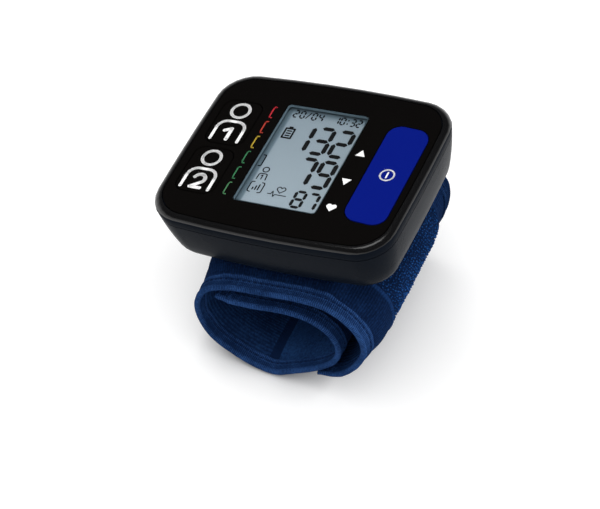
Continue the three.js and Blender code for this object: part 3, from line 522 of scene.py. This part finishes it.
cell_material = moulded(
    "display_cell", cell_grey, edge_roughness, edge_grain, 0.025, depth=0.000002)
cell_tree = cell_material.node_tree
whole_place = add_node(cell_tree, "TexCoord").outputs["Object"]
turned_place = add_node(
    cell_tree, "Mapping", {"Vector": whole_place, "Rotation": (0.0, face_tilt, 0.0)})
face_place = add_node(cell_tree, "SeparateXYZ", {0: turned_place.outputs["Vector"]}).outputs
# the painted shadow of the window's edges: full at its left edge, and most of the way at its top
# edge
left_painted_shade = map_range(cell_tree, face_place["X"], *painted_shade_left, 1.0, 0.0)
top_painted_shade = map_range(cell_tree, face_place["Y"], *painted_shade_top, 0.0, painted_shade_top_share)
painted_shade_share = math_node(cell_tree, "MAXIMUM", left_painted_shade, top_painted_shade)
pale_share = map_range(cell_tree, face_place["Y"], -pale_half, pale_half, 1.0, 0.0)
cell_shader = cell_tree.nodes["Principled BSDF"]
even_grey = cell_shader.inputs["Base Color"].links[0].from_socket
graded = colour_mix(cell_tree, pale_share, even_grey, cell_pale)
with_painted_shade = colour_mix(cell_tree, painted_shade_share, graded.outputs[2], cell_painted_shade)
set_inputs(cell_shader, {"Base Color": with_painted_shade.outputs[2]})
dress("display_glass", cell_material)

segments_on = {
    "0": "abcdef", "1": "bc", "2": "abged", "3": "abgcd", "4": "fgbc", "5": "afgcd",
    "6": "afgecd", "7": "abc", "8": "abcdefg", "9": "abcdfg",
}


def seven_segment(bm, text, last_right, bottom, width, height, pitch, thick):
    """Figures of bars with pointed ends, placed from the last figure's right-hand bar."""
    gap = thick * 0.14
    for i, letter in enumerate(reversed(text)):
        right = last_right - i * pitch
        left, middle, top = right - width, bottom + height / 2, bottom + height
        bars = {
            "a": ((left, top), (right, top)),
            "g": ((left, middle), (right, middle)),
            "d": ((left, bottom), (right, bottom)),
            "f": ((left, middle), (left, top)),
            "b": ((right, middle), (right, top)),
            "e": ((left, bottom), (left, middle)),
            "c": ((right, bottom), (right, middle)),
        }
        for key in segments_on.get(letter, ""):
            start, end = (Vector(p) for p in bars[key])
            along = (end - start).normalized()
            side = Vector((-along.y, along.x)) * thick / 2
            start, end = start + along * gap, end - along * gap
            tip = along * thick / 2
            corners = [start, start + tip + side, end - tip + side, end,
                       end - tip - side, start + tip - side]
            bm.faces.new([bm.verts.new((c.x, c.y, 0)) for c in reversed(corners)])


# text, right end, bottom, width, height, pitch and thickness of each reading
readings = [
    ("132", 9.98, 4.65, 4.3, 10.1, 6.22, 1.42),
    ("79", 9.98, -7.9, 4.3, 10.1, 6.22, 1.42),
    ("87", 10.15, -16.4, 2.95, 5.95, 4.2, 0.98),
    ("20", -8.05, 17.4, 1.25, 2.75, 2.15, 0.52),
    ("04", -2.1, 17.4, 1.25, 2.75, 2.1, 0.52),
    ("10", 5.0, 17.4, 1.25, 2.75, 1.95, 0.52),
    ("32", 10.2, 17.4, 1.25, 2.75, 1.95, 0.52),
]
date_slash = [(-7.3, 17.6), (-6.3, 19.9)]
scale_bracket = [(-13.0, -3.5), (-12.35, -3.5), (-12.2, -3.1), (-12.2, 0.5), (-12.35, 0.9),
                 (-13.0, 0.9)]
head_ring = arc((-9.85, -4.55), 0.95, 0, 340, 20)
shoulders = ([(-11.25, -8.5), (-11.15, -6.7)] + arc((-10.6, -6.7), 0.5, 180, 90, 5)
             + arc((-9.1, -6.7), 0.5, 90, 0, 5) + [(-8.45, -8.5)])
small_one = [(-10.3, -7.0), (-9.85, -6.8), (-9.85, -8.4)]
left_bracket = [(-11.1, -9.65), (-11.8, -9.75), (-12.0, -10.2), (-12.0, -13.1), (-11.8, -13.5),
                (-11.1, -13.65)]
right_bracket = [(-8.6, -9.65), (-7.9, -9.75), (-7.7, -10.2), (-7.7, -13.1), (-7.9, -13.5),
                 (-8.6, -13.65)]
graph_foot = -12.6
graph_bars = [
    [(bar_x, graph_foot), (bar_x, bar_top)]
    for bar_x, bar_top in ((-10.7, -11.9), (-9.85, -11.2), (-9.0, -10.6))
]
pulse_line = [(-5.4, -13.15), (-4.5, -13.15), (-4.1, -12.0), (-3.5, -14.0), (-3.1, -13.15),
              (0.3, -13.15)]
heart_line = [(-2.0, -12.35), (-3.2, -11.2), (-3.3, -10.6), (-2.9, -10.1), (-2.4, -10.1),
              (-2.0, -10.55), (-1.6, -10.1), (-1.1, -10.1), (-0.7, -10.6), (-0.8, -11.2)]
battery_case = [(-11.2, 8.8), (-8.4, 8.8), (-8.4, 12.6), (-11.2, 12.6)]
battery_cap = [(-10.2, 13.15), (-9.4, 13.15)]
battery_bars = [[(-10.4, bar_y), (-9.2, bar_y)] for bar_y in (9.75, 10.7, 11.65)]
# outline, width of its line, and whether it closes on itself
small_signs = [
    (scale_bracket, 0.42, False), (head_ring, 0.36, True), (shoulders, 0.36, False),
    (small_one, 0.34, False), (left_bracket, 0.36, False), (right_bracket, 0.36, False),
    *((bar, 0.42, False) for bar in graph_bars),
    (pulse_line, 0.3, False), (heart_line, 0.32, True), (battery_case, 0.6, True),
    (battery_cap, 0.6, False), *((bar, 0.5, False) for bar in battery_bars),
]
colon_x, colon_radius = 6.0, 0.28

bm = bmesh.new()
for reading in readings:
    seven_segment(bm, *reading)
stroke(bm, date_slash, 0.36)
for dot_y in (18.0, 19.4):
    dot(bm, (colon_x, dot_y), colon_radius)
for outline, line_width, closes in small_signs:
    stroke(bm, outline, line_width, closed=closes)
raise_ink(bm)
place_on_face(bm, glass_depth)
finished("display_figures", bm, ink("figure_ink", figure_black), "monitor")

# Cuff: the strip's route, seen from the lower edge of the face, from the flap's free end up the
# right side, over the top under the housing, down the left and round again inside.
housing_depth = 20.2
loop_width = 53.7
loop_left = 29.4
loop_top = 24.8
loop_drop = 37.1
route_shares = [
    (0.722, 0.885), (0.823, 0.824), (0.929, 0.674), (1.0, 0.485), (0.996, 0.307), (0.939, 0.148),
    (0.838, 0.038), (0.702, 0.0), (0.477, 0.007), (0.246, 0.03), (0.101, 0.113), (0.022, 0.275),
    (0.0, 0.464), (0.043, 0.695), (0.149, 0.852), (0.28, 0.97), (0.38, 1.0), (0.492, 0.943),
    (0.672, 0.819), (0.79, 0.69), (0.844, 0.518), (0.818, 0.353), (0.723, 0.229), (0.577, 0.182),
    (0.393, 0.197), (0.259, 0.194), (0.188, 0.167),
]
fullness_shares = [
    (0, 0), (0.03, 0), (0.08, 0.6), (0.2, 0.6), (0.25, 1), (0.6, 1), (0.66, 0.55), (0.93, 0.55),
    (0.97, 0), (1, 0),
]
seat_shares = [(0, 0), (0.194, 0), (0.213, 1), (0.365, 1), (0.42, 0), (1, 0)]
seat_gap = 0.3
core_outer, core_inner = 0.3, 1.1
pad_outer, pad_inner = 1.6, 1.0


def smooth_route(points, steps=60):
    """A centripetal curve through the points, closely sampled, with its running length."""
    ends = [2 * points[0] - points[1], *points, 2 * points[-1] - points[-2]]
    samples = []
    for p0, p1, p2, p3 in zip(ends, ends[1:], ends[2:], ends[3:]):
        t0, t1, t2 = (np.linalg.norm(b - a) ** 0.5 for a, b in ((p0, p1), (p1, p2), (p2, p3)))
        m1 = ((p1 - p0) / t0 - (p2 - p0) / (t0 + t1) + (p2 - p1) / t1) * t1
        m2 = ((p2 - p1) / t1 - (p3 - p1) / (t1 + t2) + (p3 - p2) / t2) * t1
        for t in np.arange(steps) / steps:
            samples.append(
                (2 * t**3 - 3 * t**2 + 1) * p1 + (t**3 - 2 * t**2 + t) * m1
                + (-2 * t**3 + 3 * t**2) * p2 + (t**3 - t**2) * m2
            )
    samples = np.array([*samples, points[-1]])
    lengths = np.concatenate([[0], np.cumsum(np.linalg.norm(np.diff(samples, axis=0), axis=1))])
    return samples, lengths


route_points = [
    np.array((across * loop_width - loop_left, -loop_top - down * loop_drop))
    for across, down in route_shares
]
route_samples, route_lengths = smooth_route(route_points)
route_length = route_lengths[-1]


def on_route(along):
    """The point at a share of the route's length, and the outward direction there."""
    want = np.clip(along, 0, 1) * route_length
    point = np.array([np.interp(want, route_lengths, route_samples[:, k]) for k in (0, 1)])
    near = 0.25
    before, after = (
        np.array([np.interp(np.clip(want + d, 0, route_length), route_lengths, route_samples[:, k])
                  for k in (0, 1)])
        for d in (-near, near)
    )
    tangent = (after - before) / np.linalg.norm(after - before)
    overshoot = along * route_length - want
    return point + tangent * overshoot, np.array((tangent[1], -tangent[0]))


def value_at(shares, along):
    return float(np.interp(along, [s for s, _ in shares], [v for _, v in shares]))


def pad_faces(along):
    """Heights of the padded middle's outer and inner faces over the route."""
    full = value_at(fullness_shares, along)
    seat = value_at(seat_shares, along)
    point, _ = on_route(along)
    outer = core_outer + pad_outer * full
    outer += (-housing_depth - seat_gap - point[1] - outer) * seat
    return outer, -core_inner - pad_inner * full


def rise(value, low, high):
    """0 below low, 1 above high, and smooth between."""
    share = min(max((value - low) / (high - low), 0.0), 1.0)
    return share * share * (3 - 2 * share)


# how far the cuff's forms stand out, and between which shares of the route or which places
# across it, in millimetres, each of them rises
flap_tip = -0.012
cuff_tip = 1.008
tip_tuck, tuck_until = 1.3, 0.014
tip_share, taper_length = 0.55, 0.05
front_reach, front_spread = 1.8, (18.0, 28.4)
back_reach, back_spread = 1.9, (21.5, 28.4)
flap_swell, flap_from, flap_until = 1.7, (0.015, 0.075), (0.135, 0.185)
pad_front, pad_back = (-29.0, -20.0), (14.0, 29.0)
back_swell, back_from = 0.9, (8.0, 20.0)
corner_swell, corner_across = 2.5, (15.0, 29.5)
corner_from, corner_until = (0.10, 0.168), (0.175, 0.21)
ripple_slice = 0.37


def swell(along, y):
    """How far the free flap stands off the core: its padded middle, and its back corner."""
    where = rise(along, *flap_from) * (1 - rise(along, *flap_until))
    padded = rise(y, *pad_front) * (1 - rise(y, *pad_back))
    corner = rise(along, *corner_from) * (1 - rise(along, *corner_until))
    return (where * max(flap_swell * padded, back_swell * rise(y, *back_from))
            + corner_swell * rise(y, *corner_across) * corner)


def tapered(along):
    """The edges lie flatter towards the flap's free end."""
    return tip_share + (1 - tip_share) * rise(along, flap_tip, flap_tip + taper_length)


def ripple(x, y, size, depth):
    """A slow unevenness of hand-sewn cloth."""
    return depth * noise.noise(Vector((x / size, y / size, ripple_slice)))


def lay_along(bm, height_at):
    """Lays a flat cloth, x along the route and y across in millimetres, on the route."""
    for vertex in bm.verts:
        along = vertex.co.x / route_length
        point, outward = on_route(along)
        across = (vertex.co.y - front_reach * rise(-vertex.co.y, *front_spread)
                  + back_reach * rise(vertex.co.y, *back_spread))
        height = height_at(along, vertex.co.y) + vertex.co.z
        height -= tip_tuck * (1 - rise(along, flap_tip, tuck_until))
        vertex.co = (point[0] + outward[0] * height, across, point[1] + outward[1] * height)
    bmesh.ops.scale(bm, vec=(MM, MM, MM), verts=bm.verts)
    bmesh.ops.transform(bm, matrix=face_to_row, verts=bm.verts)
    bmesh.ops.reverse_faces(bm, faces=bm.faces)


def flat_cloth(start, end, half, step, across):
    """A flat grid of cloth between two shares of the route, with its flat size as its UV map."""
    bm = bmesh.new()
    length = (end - start) * route_length
    rows = max(4, int(length / step))
    cloth = bm.loops.layers.uv.new("cloth")
    bmesh.ops.create_grid(bm, x_segments=rows, y_segments=across, size=0.5)
    bmesh.ops.scale(bm, vec=(length, 2 * half, 1), verts=bm.verts)
    bmesh.ops.translate(bm, vec=(start * route_length + length / 2, 0, 0), verts=bm.verts)
    for face in bm.faces:
        for loop in face.loops:
            loop[cloth].uv = (loop.vert.co.x * MM, loop.vert.co.y * MM)
    return bm


# Outer cloth of the cuff: knitted nylon over a springy core and the air bladder. Its ribs run
# across the cuff, and two raised seams border the panel that takes the closing tape.
navy = (0.0042, 0.0125, 0.045, 1.0)
navy_light = (0.012, 0.043, 0.15, 1.0)
cloth_roughness = 0.95
cloth_gloss = 0.01
cloth_sheen = 0.08
sheen_roughness = 0.5
sheen_tint = (0.10, 0.30, 0.90, 1.0)
fuzz_scale, shade_scale = 1400.0, 120.0
fuzz_middle, shade_middle = 0.5, 0.55
most_tone = 1.6
knot_share, knot_length = 0.35, 0.8
plain_soft, band_soft = 0.0004, 0.00025
split_share = 0.262
pad_edge = 21.7
cloth_half = 28.4
cloth_edge = 0.45
cloth_in = 4.2 / route_length
pad_slope = cloth_half - pad_edge + 2.0
outer_ripple = (6.0, 0.22)
knit_rib = 0.0008
knit_relief = 0.00014
knit_thickness = 0.0005
knit_step, knit_columns = 0.75, 88
seam_front = -16.0
seam_back = 20.8
seam_half = 0.7
seam_height = 0.45
seam_fade = 0.01


def between(tree, value, low, high, soft):
    """1 between two places on a cloth, falling off over a soft edge."""
    up = map_range(tree, value, low - soft, low + soft, 0.0, 1.0)
    down = map_range(tree, value, high - soft, high + soft, 1.0, 0.0)
    return math_node(tree, "MULTIPLY", up, down)


def cloth_material(
    name, base, light, rib, along_route=False, bands=(), plain=None, fuzz=0.5, gain=0.5,
    relief=0.0001
):
    """Knitted cloth on its flat coordinates: ribs but where plain, and bands of another tone."""
    material, tree, shader = new_material(name)

    def calc(operation, *values):
        return math_node(tree, operation, *values)

    where = add_node(tree, "UVMap")
    where.uv_map = "cloth"
    split = add_node(tree, "SeparateXYZ", {0: where.outputs["UV"]}).outputs
    places = {"u": split["X"], "v": split["Y"]}
    across, down = (places["v"], places["u"]) if along_route else (places["u"], places["v"])
    ribs = calc("ABSOLUTE", calc("SINE", calc("MULTIPLY", across, pi / rib)))
    knots = calc("ABSOLUTE", calc("SINE", calc("MULTIPLY", down, pi / (rib * knot_length))))
    knots = calc("ADD", 1 - knot_share, calc("MULTIPLY", knots, knot_share))
    ribs = calc("MULTIPLY", ribs, knots)
    if plain:
        axis, low, high = plain
        bare = between(tree, places[axis], low, high, plain_soft)
        ribs = calc("MULTIPLY", ribs, calc("SUBTRACT", 1.0, bare))
    fuzzed = calc("SUBTRACT", noise_on(tree, fuzz_scale), fuzz_middle)
    tone = calc("ADD", calc("MULTIPLY", ribs, gain), calc("MULTIPLY", fuzzed, fuzz * 2.0))
    tone = calc("ADD", tone, calc("SUBTRACT", noise_on(tree, shade_scale), shade_middle))
    for axis, low, high, change in bands:
        band = between(tree, places[axis], low, high, band_soft)
        tone = calc("ADD", tone, calc("MULTIPLY", band, change))
    tone = calc("MINIMUM", calc("MAXIMUM", tone, 0.0), most_tone)
    colour = colour_mix(tree, tone, base, light)
    colour.clamp_factor = False
    height = calc("ADD", ribs, calc("MULTIPLY", fuzzed, fuzz))
    bump = add_node(tree, "Bump", {"Strength": 1.0, "Distance": relief, "Height": height})
    set_inputs(shader, {
        "Base Color": colour.outputs[2], "Roughness": cloth_roughness,
        "Specular IOR Level": cloth_gloss, "Sheen Weight": cloth_sheen,
        "Sheen Roughness": sheen_roughness, "Sheen Tint": sheen_tint,
        "Normal": bump.outputs["Normal"]})
    return material


def outer_height(along, y):
    """Height of the outer cloth over the route: flat at its edges, and full over the pad."""
    outer, _ = pad_faces(along)
    share = rise(cloth_half - abs(y), 0.0, pad_slope)
    height = cloth_edge * tapered(along) + (outer - cloth_edge) * share + swell(along, y)
    return height + share * ripple(along * route_length, y, *outer_ripple)


def knit_height(along, y):
    """The outer cloth with the two seams beside the loop panel, which end at the hinge."""
    nearest = min(abs(y - seam_front), abs(y - seam_back))
    ridge = seam_height * max(0.0, 1 - (nearest / seam_half) ** 2)
    return outer_height(along, y) + ridge * rise(split_share - along, 0, seam_fade)


def thicken(piece, thickness):
    """Gives a cloth its real thickness, inwards from the mesh."""
    solid = piece.modifiers.new("thickness", "SOLIDIFY")
    solid.thickness = thickness
    solid.offset = -1
    piece.data.shade_smooth()


def hold(piece, start):
    """A piece over the flap gets its modifiers and its place built into its mesh, and the rest
    rides on the monitor.
    """
    if start < split_share:
        for modifier in piece.modifiers[:]:
            with bpy.context.temp_override(object=piece, active_object=piece):
                bpy.ops.object.modifier_apply(modifier=modifier.name)
        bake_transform(piece)
    else:
        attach(piece, "monitor")


# the panel between the seams is plain, and each seam shows as a lighter band
knit_bands = [
    ("v", -0.0167, -0.0153, 0.75), ("v", -0.0153, 0.0201, 0.15), ("v", 0.0201, 0.0215, 0.3)]
knit = cloth_material(
    "navy_knit", navy, navy_light, knit_rib, bands=knit_bands, plain=("v", -0.0155, 0.0203),
    fuzz=0.7, gain=0.38, relief=knit_relief)
cloth_spans = [(flap_tip + cloth_in, split_share), (split_share, cuff_tip - cloth_in)]
for cloth_name, (start, end) in zip(("flap_cloth", "cuff_cloth"), cloth_spans):
    bm = flat_cloth(start, end, cloth_half, knit_step, knit_columns)
    lay_along(bm, knit_height)
    cloth = finished(cloth_name, bm, knit, None)
    thicken(cloth, knit_thickness)
    hold(cloth, start)
    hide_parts("flap_fabric" if start < split_share else "cuff_fabric")

# Loop panel: rows of small nylon loops standing on the flap between the two seams, for the
# closing tape to grip. They are brighter than the knit and give the side its dotted edge.
loop_pitch_u = 1.02
loop_pitch_v = 0.98
loop_size = (0.25, 0.20, 0.32)
loop_blue = (0.010, 0.055, 0.20, 1.0)
loop_bright = (0.045, 0.190, 0.62, 1.0)
loop_bed = 0.12
noise_u, noise_v, noise_slice = 7.31, 3.17, 0.5
waver_u, waver_v, waver_size, waver_turn = 0.55, 0.6, 0.8, 3
first_u, last_u = 5.2, split_share * route_length - 1.0
rows = int((last_u - first_u) / loop_pitch_u)
columns = int((seam_back - seam_front - 2 * seam_half) / loop_pitch_v)


def scatter(spots):
    """Small round knots of thread on a flat cloth: (place, size, turn) each."""
    bm = bmesh.new()
    cloth = bm.loops.layers.uv.new("cloth")
    bmesh.ops.create_icosphere(bm, subdivisions=1, radius=1.0)
    each = len(bm.verts)
    while len(bm.verts) < each * len(spots):
        bmesh.ops.duplicate(bm, geom=bm.verts[:] + bm.edges[:] + bm.faces[:])
    bmesh.ops.delete(bm, geom=bm.verts[each * len(spots):], context="VERTS")
    bm.verts.ensure_lookup_table()
    for i, (place, size, turn) in enumerate(spots):
        turned = Matrix.Rotation(turn, 3, "Z") @ Matrix.Diagonal(size)
        for vertex in bm.verts[i * each:(i + 1) * each]:
            vertex.co = turned @ vertex.co + Vector(place)
    for face in bm.faces:
        for loop in face.loops:
            loop[cloth].uv = (loop.vert.co.x * MM, loop.vert.co.y * MM)
    return bm


spots = []
for i in range(rows):
    for j in range(columns):
        spot = Vector((i * noise_u, j * noise_v, noise_slice))
        x = first_u + (i + waver_u * noise.noise(spot)) * loop_pitch_u
        y = j + 0.5 * (i % 2) + 0.5 + waver_v * noise.noise(spot.yxz)
        grow = 1.0 + waver_size * noise.noise(spot * 1.7)
        spots.append(((x, seam_front + seam_half + y * loop_pitch_v, loop_bed),
                      [size * grow for size in loop_size], waver_turn * noise.noise(spot * 2.3)))
bm = scatter(spots)
lay_along(bm, outer_height)
pile = finished(
    "loop_panel", bm,
    cloth_material("loop_nylon", loop_blue, loop_bright, 0.0004, fuzz=0.9, relief=0.00003), None)
pile.data.shade_smooth()
hold(pile, 0.0)

# Lining of the cuff: a soft ribbed knit against the wrist, joined by a dark flat seam to the
# brushed piece of the inner end. It is bound with the outer cloth at its edges.
lining_dark = (0.0070, 0.0200, 0.068, 1.0)
lining_light = (0.0230, 0.0780, 0.235, 1.0)
lining_rib = 0.0009
lining_relief = 0.00012
lining_thickness = 0.0004
lining_step, lining_columns = 0.8, 60
lining_seam = 0.622
lining_seam_half = 1.6
lining_seam_rise = 0.45
inner_ripple, inner_shift = (5.0, 0.25), 40.0
past_the_end = 0.3
seam_at = lining_seam * route_length * MM
seam_from, seam_until = seam_at - lining_seam_half * MM, seam_at + lining_seam_half * MM
lining = cloth_material(
    "lining_knit", lining_dark, lining_light, lining_rib, along_route=True, fuzz=0.8,
    relief=lining_relief, plain=("u", seam_at, past_the_end),
    bands=[("u", seam_from, seam_until, -1.2), ("u", seam_until, past_the_end, 0.6)])


def inner_height(along, y):
    """Height of the lining under the route, with its flat seam pressed in a little."""
    _, inner = pad_faces(along)
    share = rise(cloth_half - abs(y), 0.0, pad_slope)
    seam = max(0.0, 1 - (abs(along - lining_seam) * route_length / lining_seam_half) ** 2)
    height = (-cloth_edge * tapered(along) + (inner + cloth_edge) * share
              + lining_seam_rise * seam * share)
    return height + share * ripple(along * route_length + inner_shift, y, *inner_ripple)


for cloth_name, (start, end) in zip(("flap_lining_cloth", "cuff_lining_cloth"), cloth_spans):
    bm = flat_cloth(start, end, cloth_half, lining_step, lining_columns)
    bmesh.ops.reverse_faces(bm, faces=bm.faces)
    lay_along(bm, inner_height)
    cloth = finished(cloth_name, bm, lining, None)
    thicken(cloth, lining_thickness)
    hold(cloth, start)
    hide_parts("flap_lining" if start < split_share else "cuff_lining")

# Binding: a folded ribbed tape in a lighter blue, sewn round the cuff's edges. It makes a round
# bead at the edge, then a groove, then a flat hem on each face, held by a line of stitches. The
# groove and the dip at the stitches carry painted shade, and the tape on the back edge is a darker
# copy of it with painted shade.
tape_blue = (0.0075, 0.024, 0.085, 1.0)
tape_light = (0.049, 0.140, 0.415, 1.0)
back_painted_shade, back_light_painted_shade = 0.6, 0.55
tape_rib = 0.00058
tape_relief, back_relief = 0.00022, 0.00016
tape_edge = 0.95
cuff_half = 30.0
tape_thickness = 0.0005
tape_step = 0.8
groove_height = 0.74
hem_waver, hem_from, hem_until = (3.0, 0.22), 1.5, 4.5
face_waver = (2.2, 0.12)
waver_shift = 9.0
end_tape_in, end_tape_steps = 0.35, 60
# the tape's section from the hem's edge to the bead: place inwards, and height over the core
tape_face = [
    (4.5, 0.62), (4.42, 0.98), (4.15, 1.10), (3.65, 1.08), (3.3, 0.84), (3.1, 0.82), (2.7, 0.88),
    (2.2, 0.78), (1.6, 0.74), (1.25, 0.84),
]
edge_turn = [
    (tape_edge * (1 - sin(pi * i / 8)), tape_edge * cos(pi * i / 8)) for i in range(9)
]
tape_profile = tape_face + edge_turn + [(inward, -height) for inward, height in tape_face[::-1]]
profile_run = np.concatenate([[0], np.cumsum(
    [np.hypot(b[0] - a[0], b[1] - a[1]) for a, b in zip(tape_profile, tape_profile[1:])])])
# painted shade in the tape's hollows: the groove beside the bead and the dip at the stitch line,
# on both faces
tape_groove_painted_shade = []
for first, last, change in ((6, 9, -0.3), (3, 5, -0.4)):
    for low, high in ((profile_run[first], profile_run[last]),
                      (profile_run[-1 - last], profile_run[-1 - first])):
        tape_groove_painted_shade.append(("v", float(low) * MM, float(high) * MM, change))
tape = cloth_material(
    "binding_rib", tape_blue, tape_light, tape_rib, bands=tape_groove_painted_shade, fuzz=0.5, gain=0.7,
    relief=tape_relief)
# the same tape for the back edge, made darker and flatter in colour: painted shade
back_tape_painted_shade = cloth_material(
    "binding_rib_back_painted_shade", [back_painted_shade * c for c in tape_blue[:3]] + [1.0],
    [back_light_painted_shade * c for c in tape_light[:3]] + [1.0], tape_rib, bands=tape_groove_painted_shade, fuzz=0.5,
    gain=0.5, relief=back_relief)


def tape_strip(length, start_x, steps):
    """A flat strip whose rows take the tape's section, with its run as its UV map."""
    bm = bmesh.new()
    cloth = bm.loops.layers.uv.new("cloth")
    bmesh.ops.create_grid(bm, x_segments=steps, y_segments=len(tape_profile) - 1, size=0.5)
    order = {round(y, 5): i for i, y in enumerate(sorted({round(v.co.y, 5) for v in bm.verts}))}
    for vertex in bm.verts:
        vertex.co.x = start_x + (vertex.co.x + 0.5) * length
        vertex.co.z = order[round(vertex.co.y, 5)]
    for face in bm.faces:
        for loop in face.loops:
            loop[cloth].uv = (loop.vert.co.x * MM, profile_run[round(loop.vert.co.z)] * MM)
    return bm


def cloth_under(along, y, on_outside):
    """How far the cloth that a tape lies on stands off the core."""
    return outer_height(along, y) - swell(along, y) if on_outside else -inner_height(along, y)


def sew_on(name, bm, material, start, replaced):
    """Lays a shaped strip of tape on the route, and gives it its thickness and its body."""
    lay_along(bm, swell)
    piece = finished(name, bm, material, None)
    thicken(piece, tape_thickness)
    hold(piece, start)
    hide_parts(replaced)


def edge_tape(name, start, end, side, replaced):
    """The tape along the front or the back edge, over one stretch of the route."""
    length = (end - start) * route_length
    bm = tape_strip(length, start * route_length, int(length / tape_step))
    for vertex in bm.verts:
        inward, height = tape_profile[round(vertex.co.z)]
        waver = (ripple(vertex.co.x, side * waver_shift, *hem_waver)
                 * rise(inward, hem_from, hem_until))
        vertex.co.y = side * (cuff_half - inward - waver)
        along = vertex.co.x / route_length
        on_cloth = cloth_under(along, vertex.co.y, height > 0) + abs(height) - groove_height
        height = copysign(max(abs(height) * tapered(along), on_cloth), height)
        vertex.co.z = height + ripple(vertex.co.x, inward + side * waver_shift, *face_waver)
    if side < 0:
        bmesh.ops.reverse_faces(bm, faces=bm.faces)
    # the back edge takes the tape's darker copy, with painted shade
    sew_on(name, bm, tape if side < 0 else back_tape_painted_shade, start, replaced)


for side, side_name in ((-1, "front"), (1, "back")):
    edge_tape(f"flap_tape_{side_name}", flap_tip, split_share, side, f"flap_binding_{side_name}")
    edge_tape(f"cuff_tape_{side_name}", split_share, cuff_tip, side, f"cuff_binding_{side_name}")


def end_tape(name, start, towards, replaced):
    """The same tape across an end of the strip."""
    half = cuff_half - end_tape_in
    bm = tape_strip(2 * half, -half, end_tape_steps)
    for vertex in bm.verts:
        inward, height = tape_profile[round(vertex.co.z)]
        vertex.co = (start * route_length + towards * inward, vertex.co.x,
                     height * tapered(start))
    if towards < 0:
        bmesh.ops.reverse_faces(bm, faces=bm.faces)
    sew_on(name, bm, tape, start, replaced)


end_tape("flap_tape_end", flap_tip, 1, "flap_binding_end")
end_tape("cuff_tape_end", cuff_tip, -1, "cuff_binding_end")

# Stitches: one line of dark thread along each hem of the binding, on both faces of the cuff.
# Each stitch is a short flat knot that lies in the tape.
thread_blue = (0.0035, 0.009, 0.032, 1.0)
stitch_size = (0.50, 0.10, 0.09)
stitch_pitch = 1.9
stitch_in = 3.2
stitch_height = 0.93
stitch_rise, hem_height = 0.1, 0.84
stitched_spans = {"flap": (0.02, split_share), "cuff": (split_share, 0.985)}
thread = moulded("blue_thread", thread_blue, 0.8, 0.0002, 0.15, 0.00001, 0.02)
for span, (start, end) in stitched_spans.items():
    count = int((end - start) * route_length / stitch_pitch)
    bm = scatter([
        ((start * route_length + (i + 0.5) * stitch_pitch, side * (cuff_half - stitch_in), height),
         stitch_size, 0.0)
        for i in range(count) for side in (-1, 1) for height in (stitch_height, -stitch_height)
    ])
    for vertex in bm.verts:
        on_outside = vertex.co.z > 0
        under = cloth_under(vertex.co.x / route_length, vertex.co.y, on_outside)
        lift = max(0.0, under + stitch_rise - hem_height)
        vertex.co.z += lift if on_outside else -lift
    lay_along(bm, swell)
    stitches = finished(f"{span}_stitches", bm, thread, None)
    stitches.data.shade_smooth()
    hold(stitches, start)
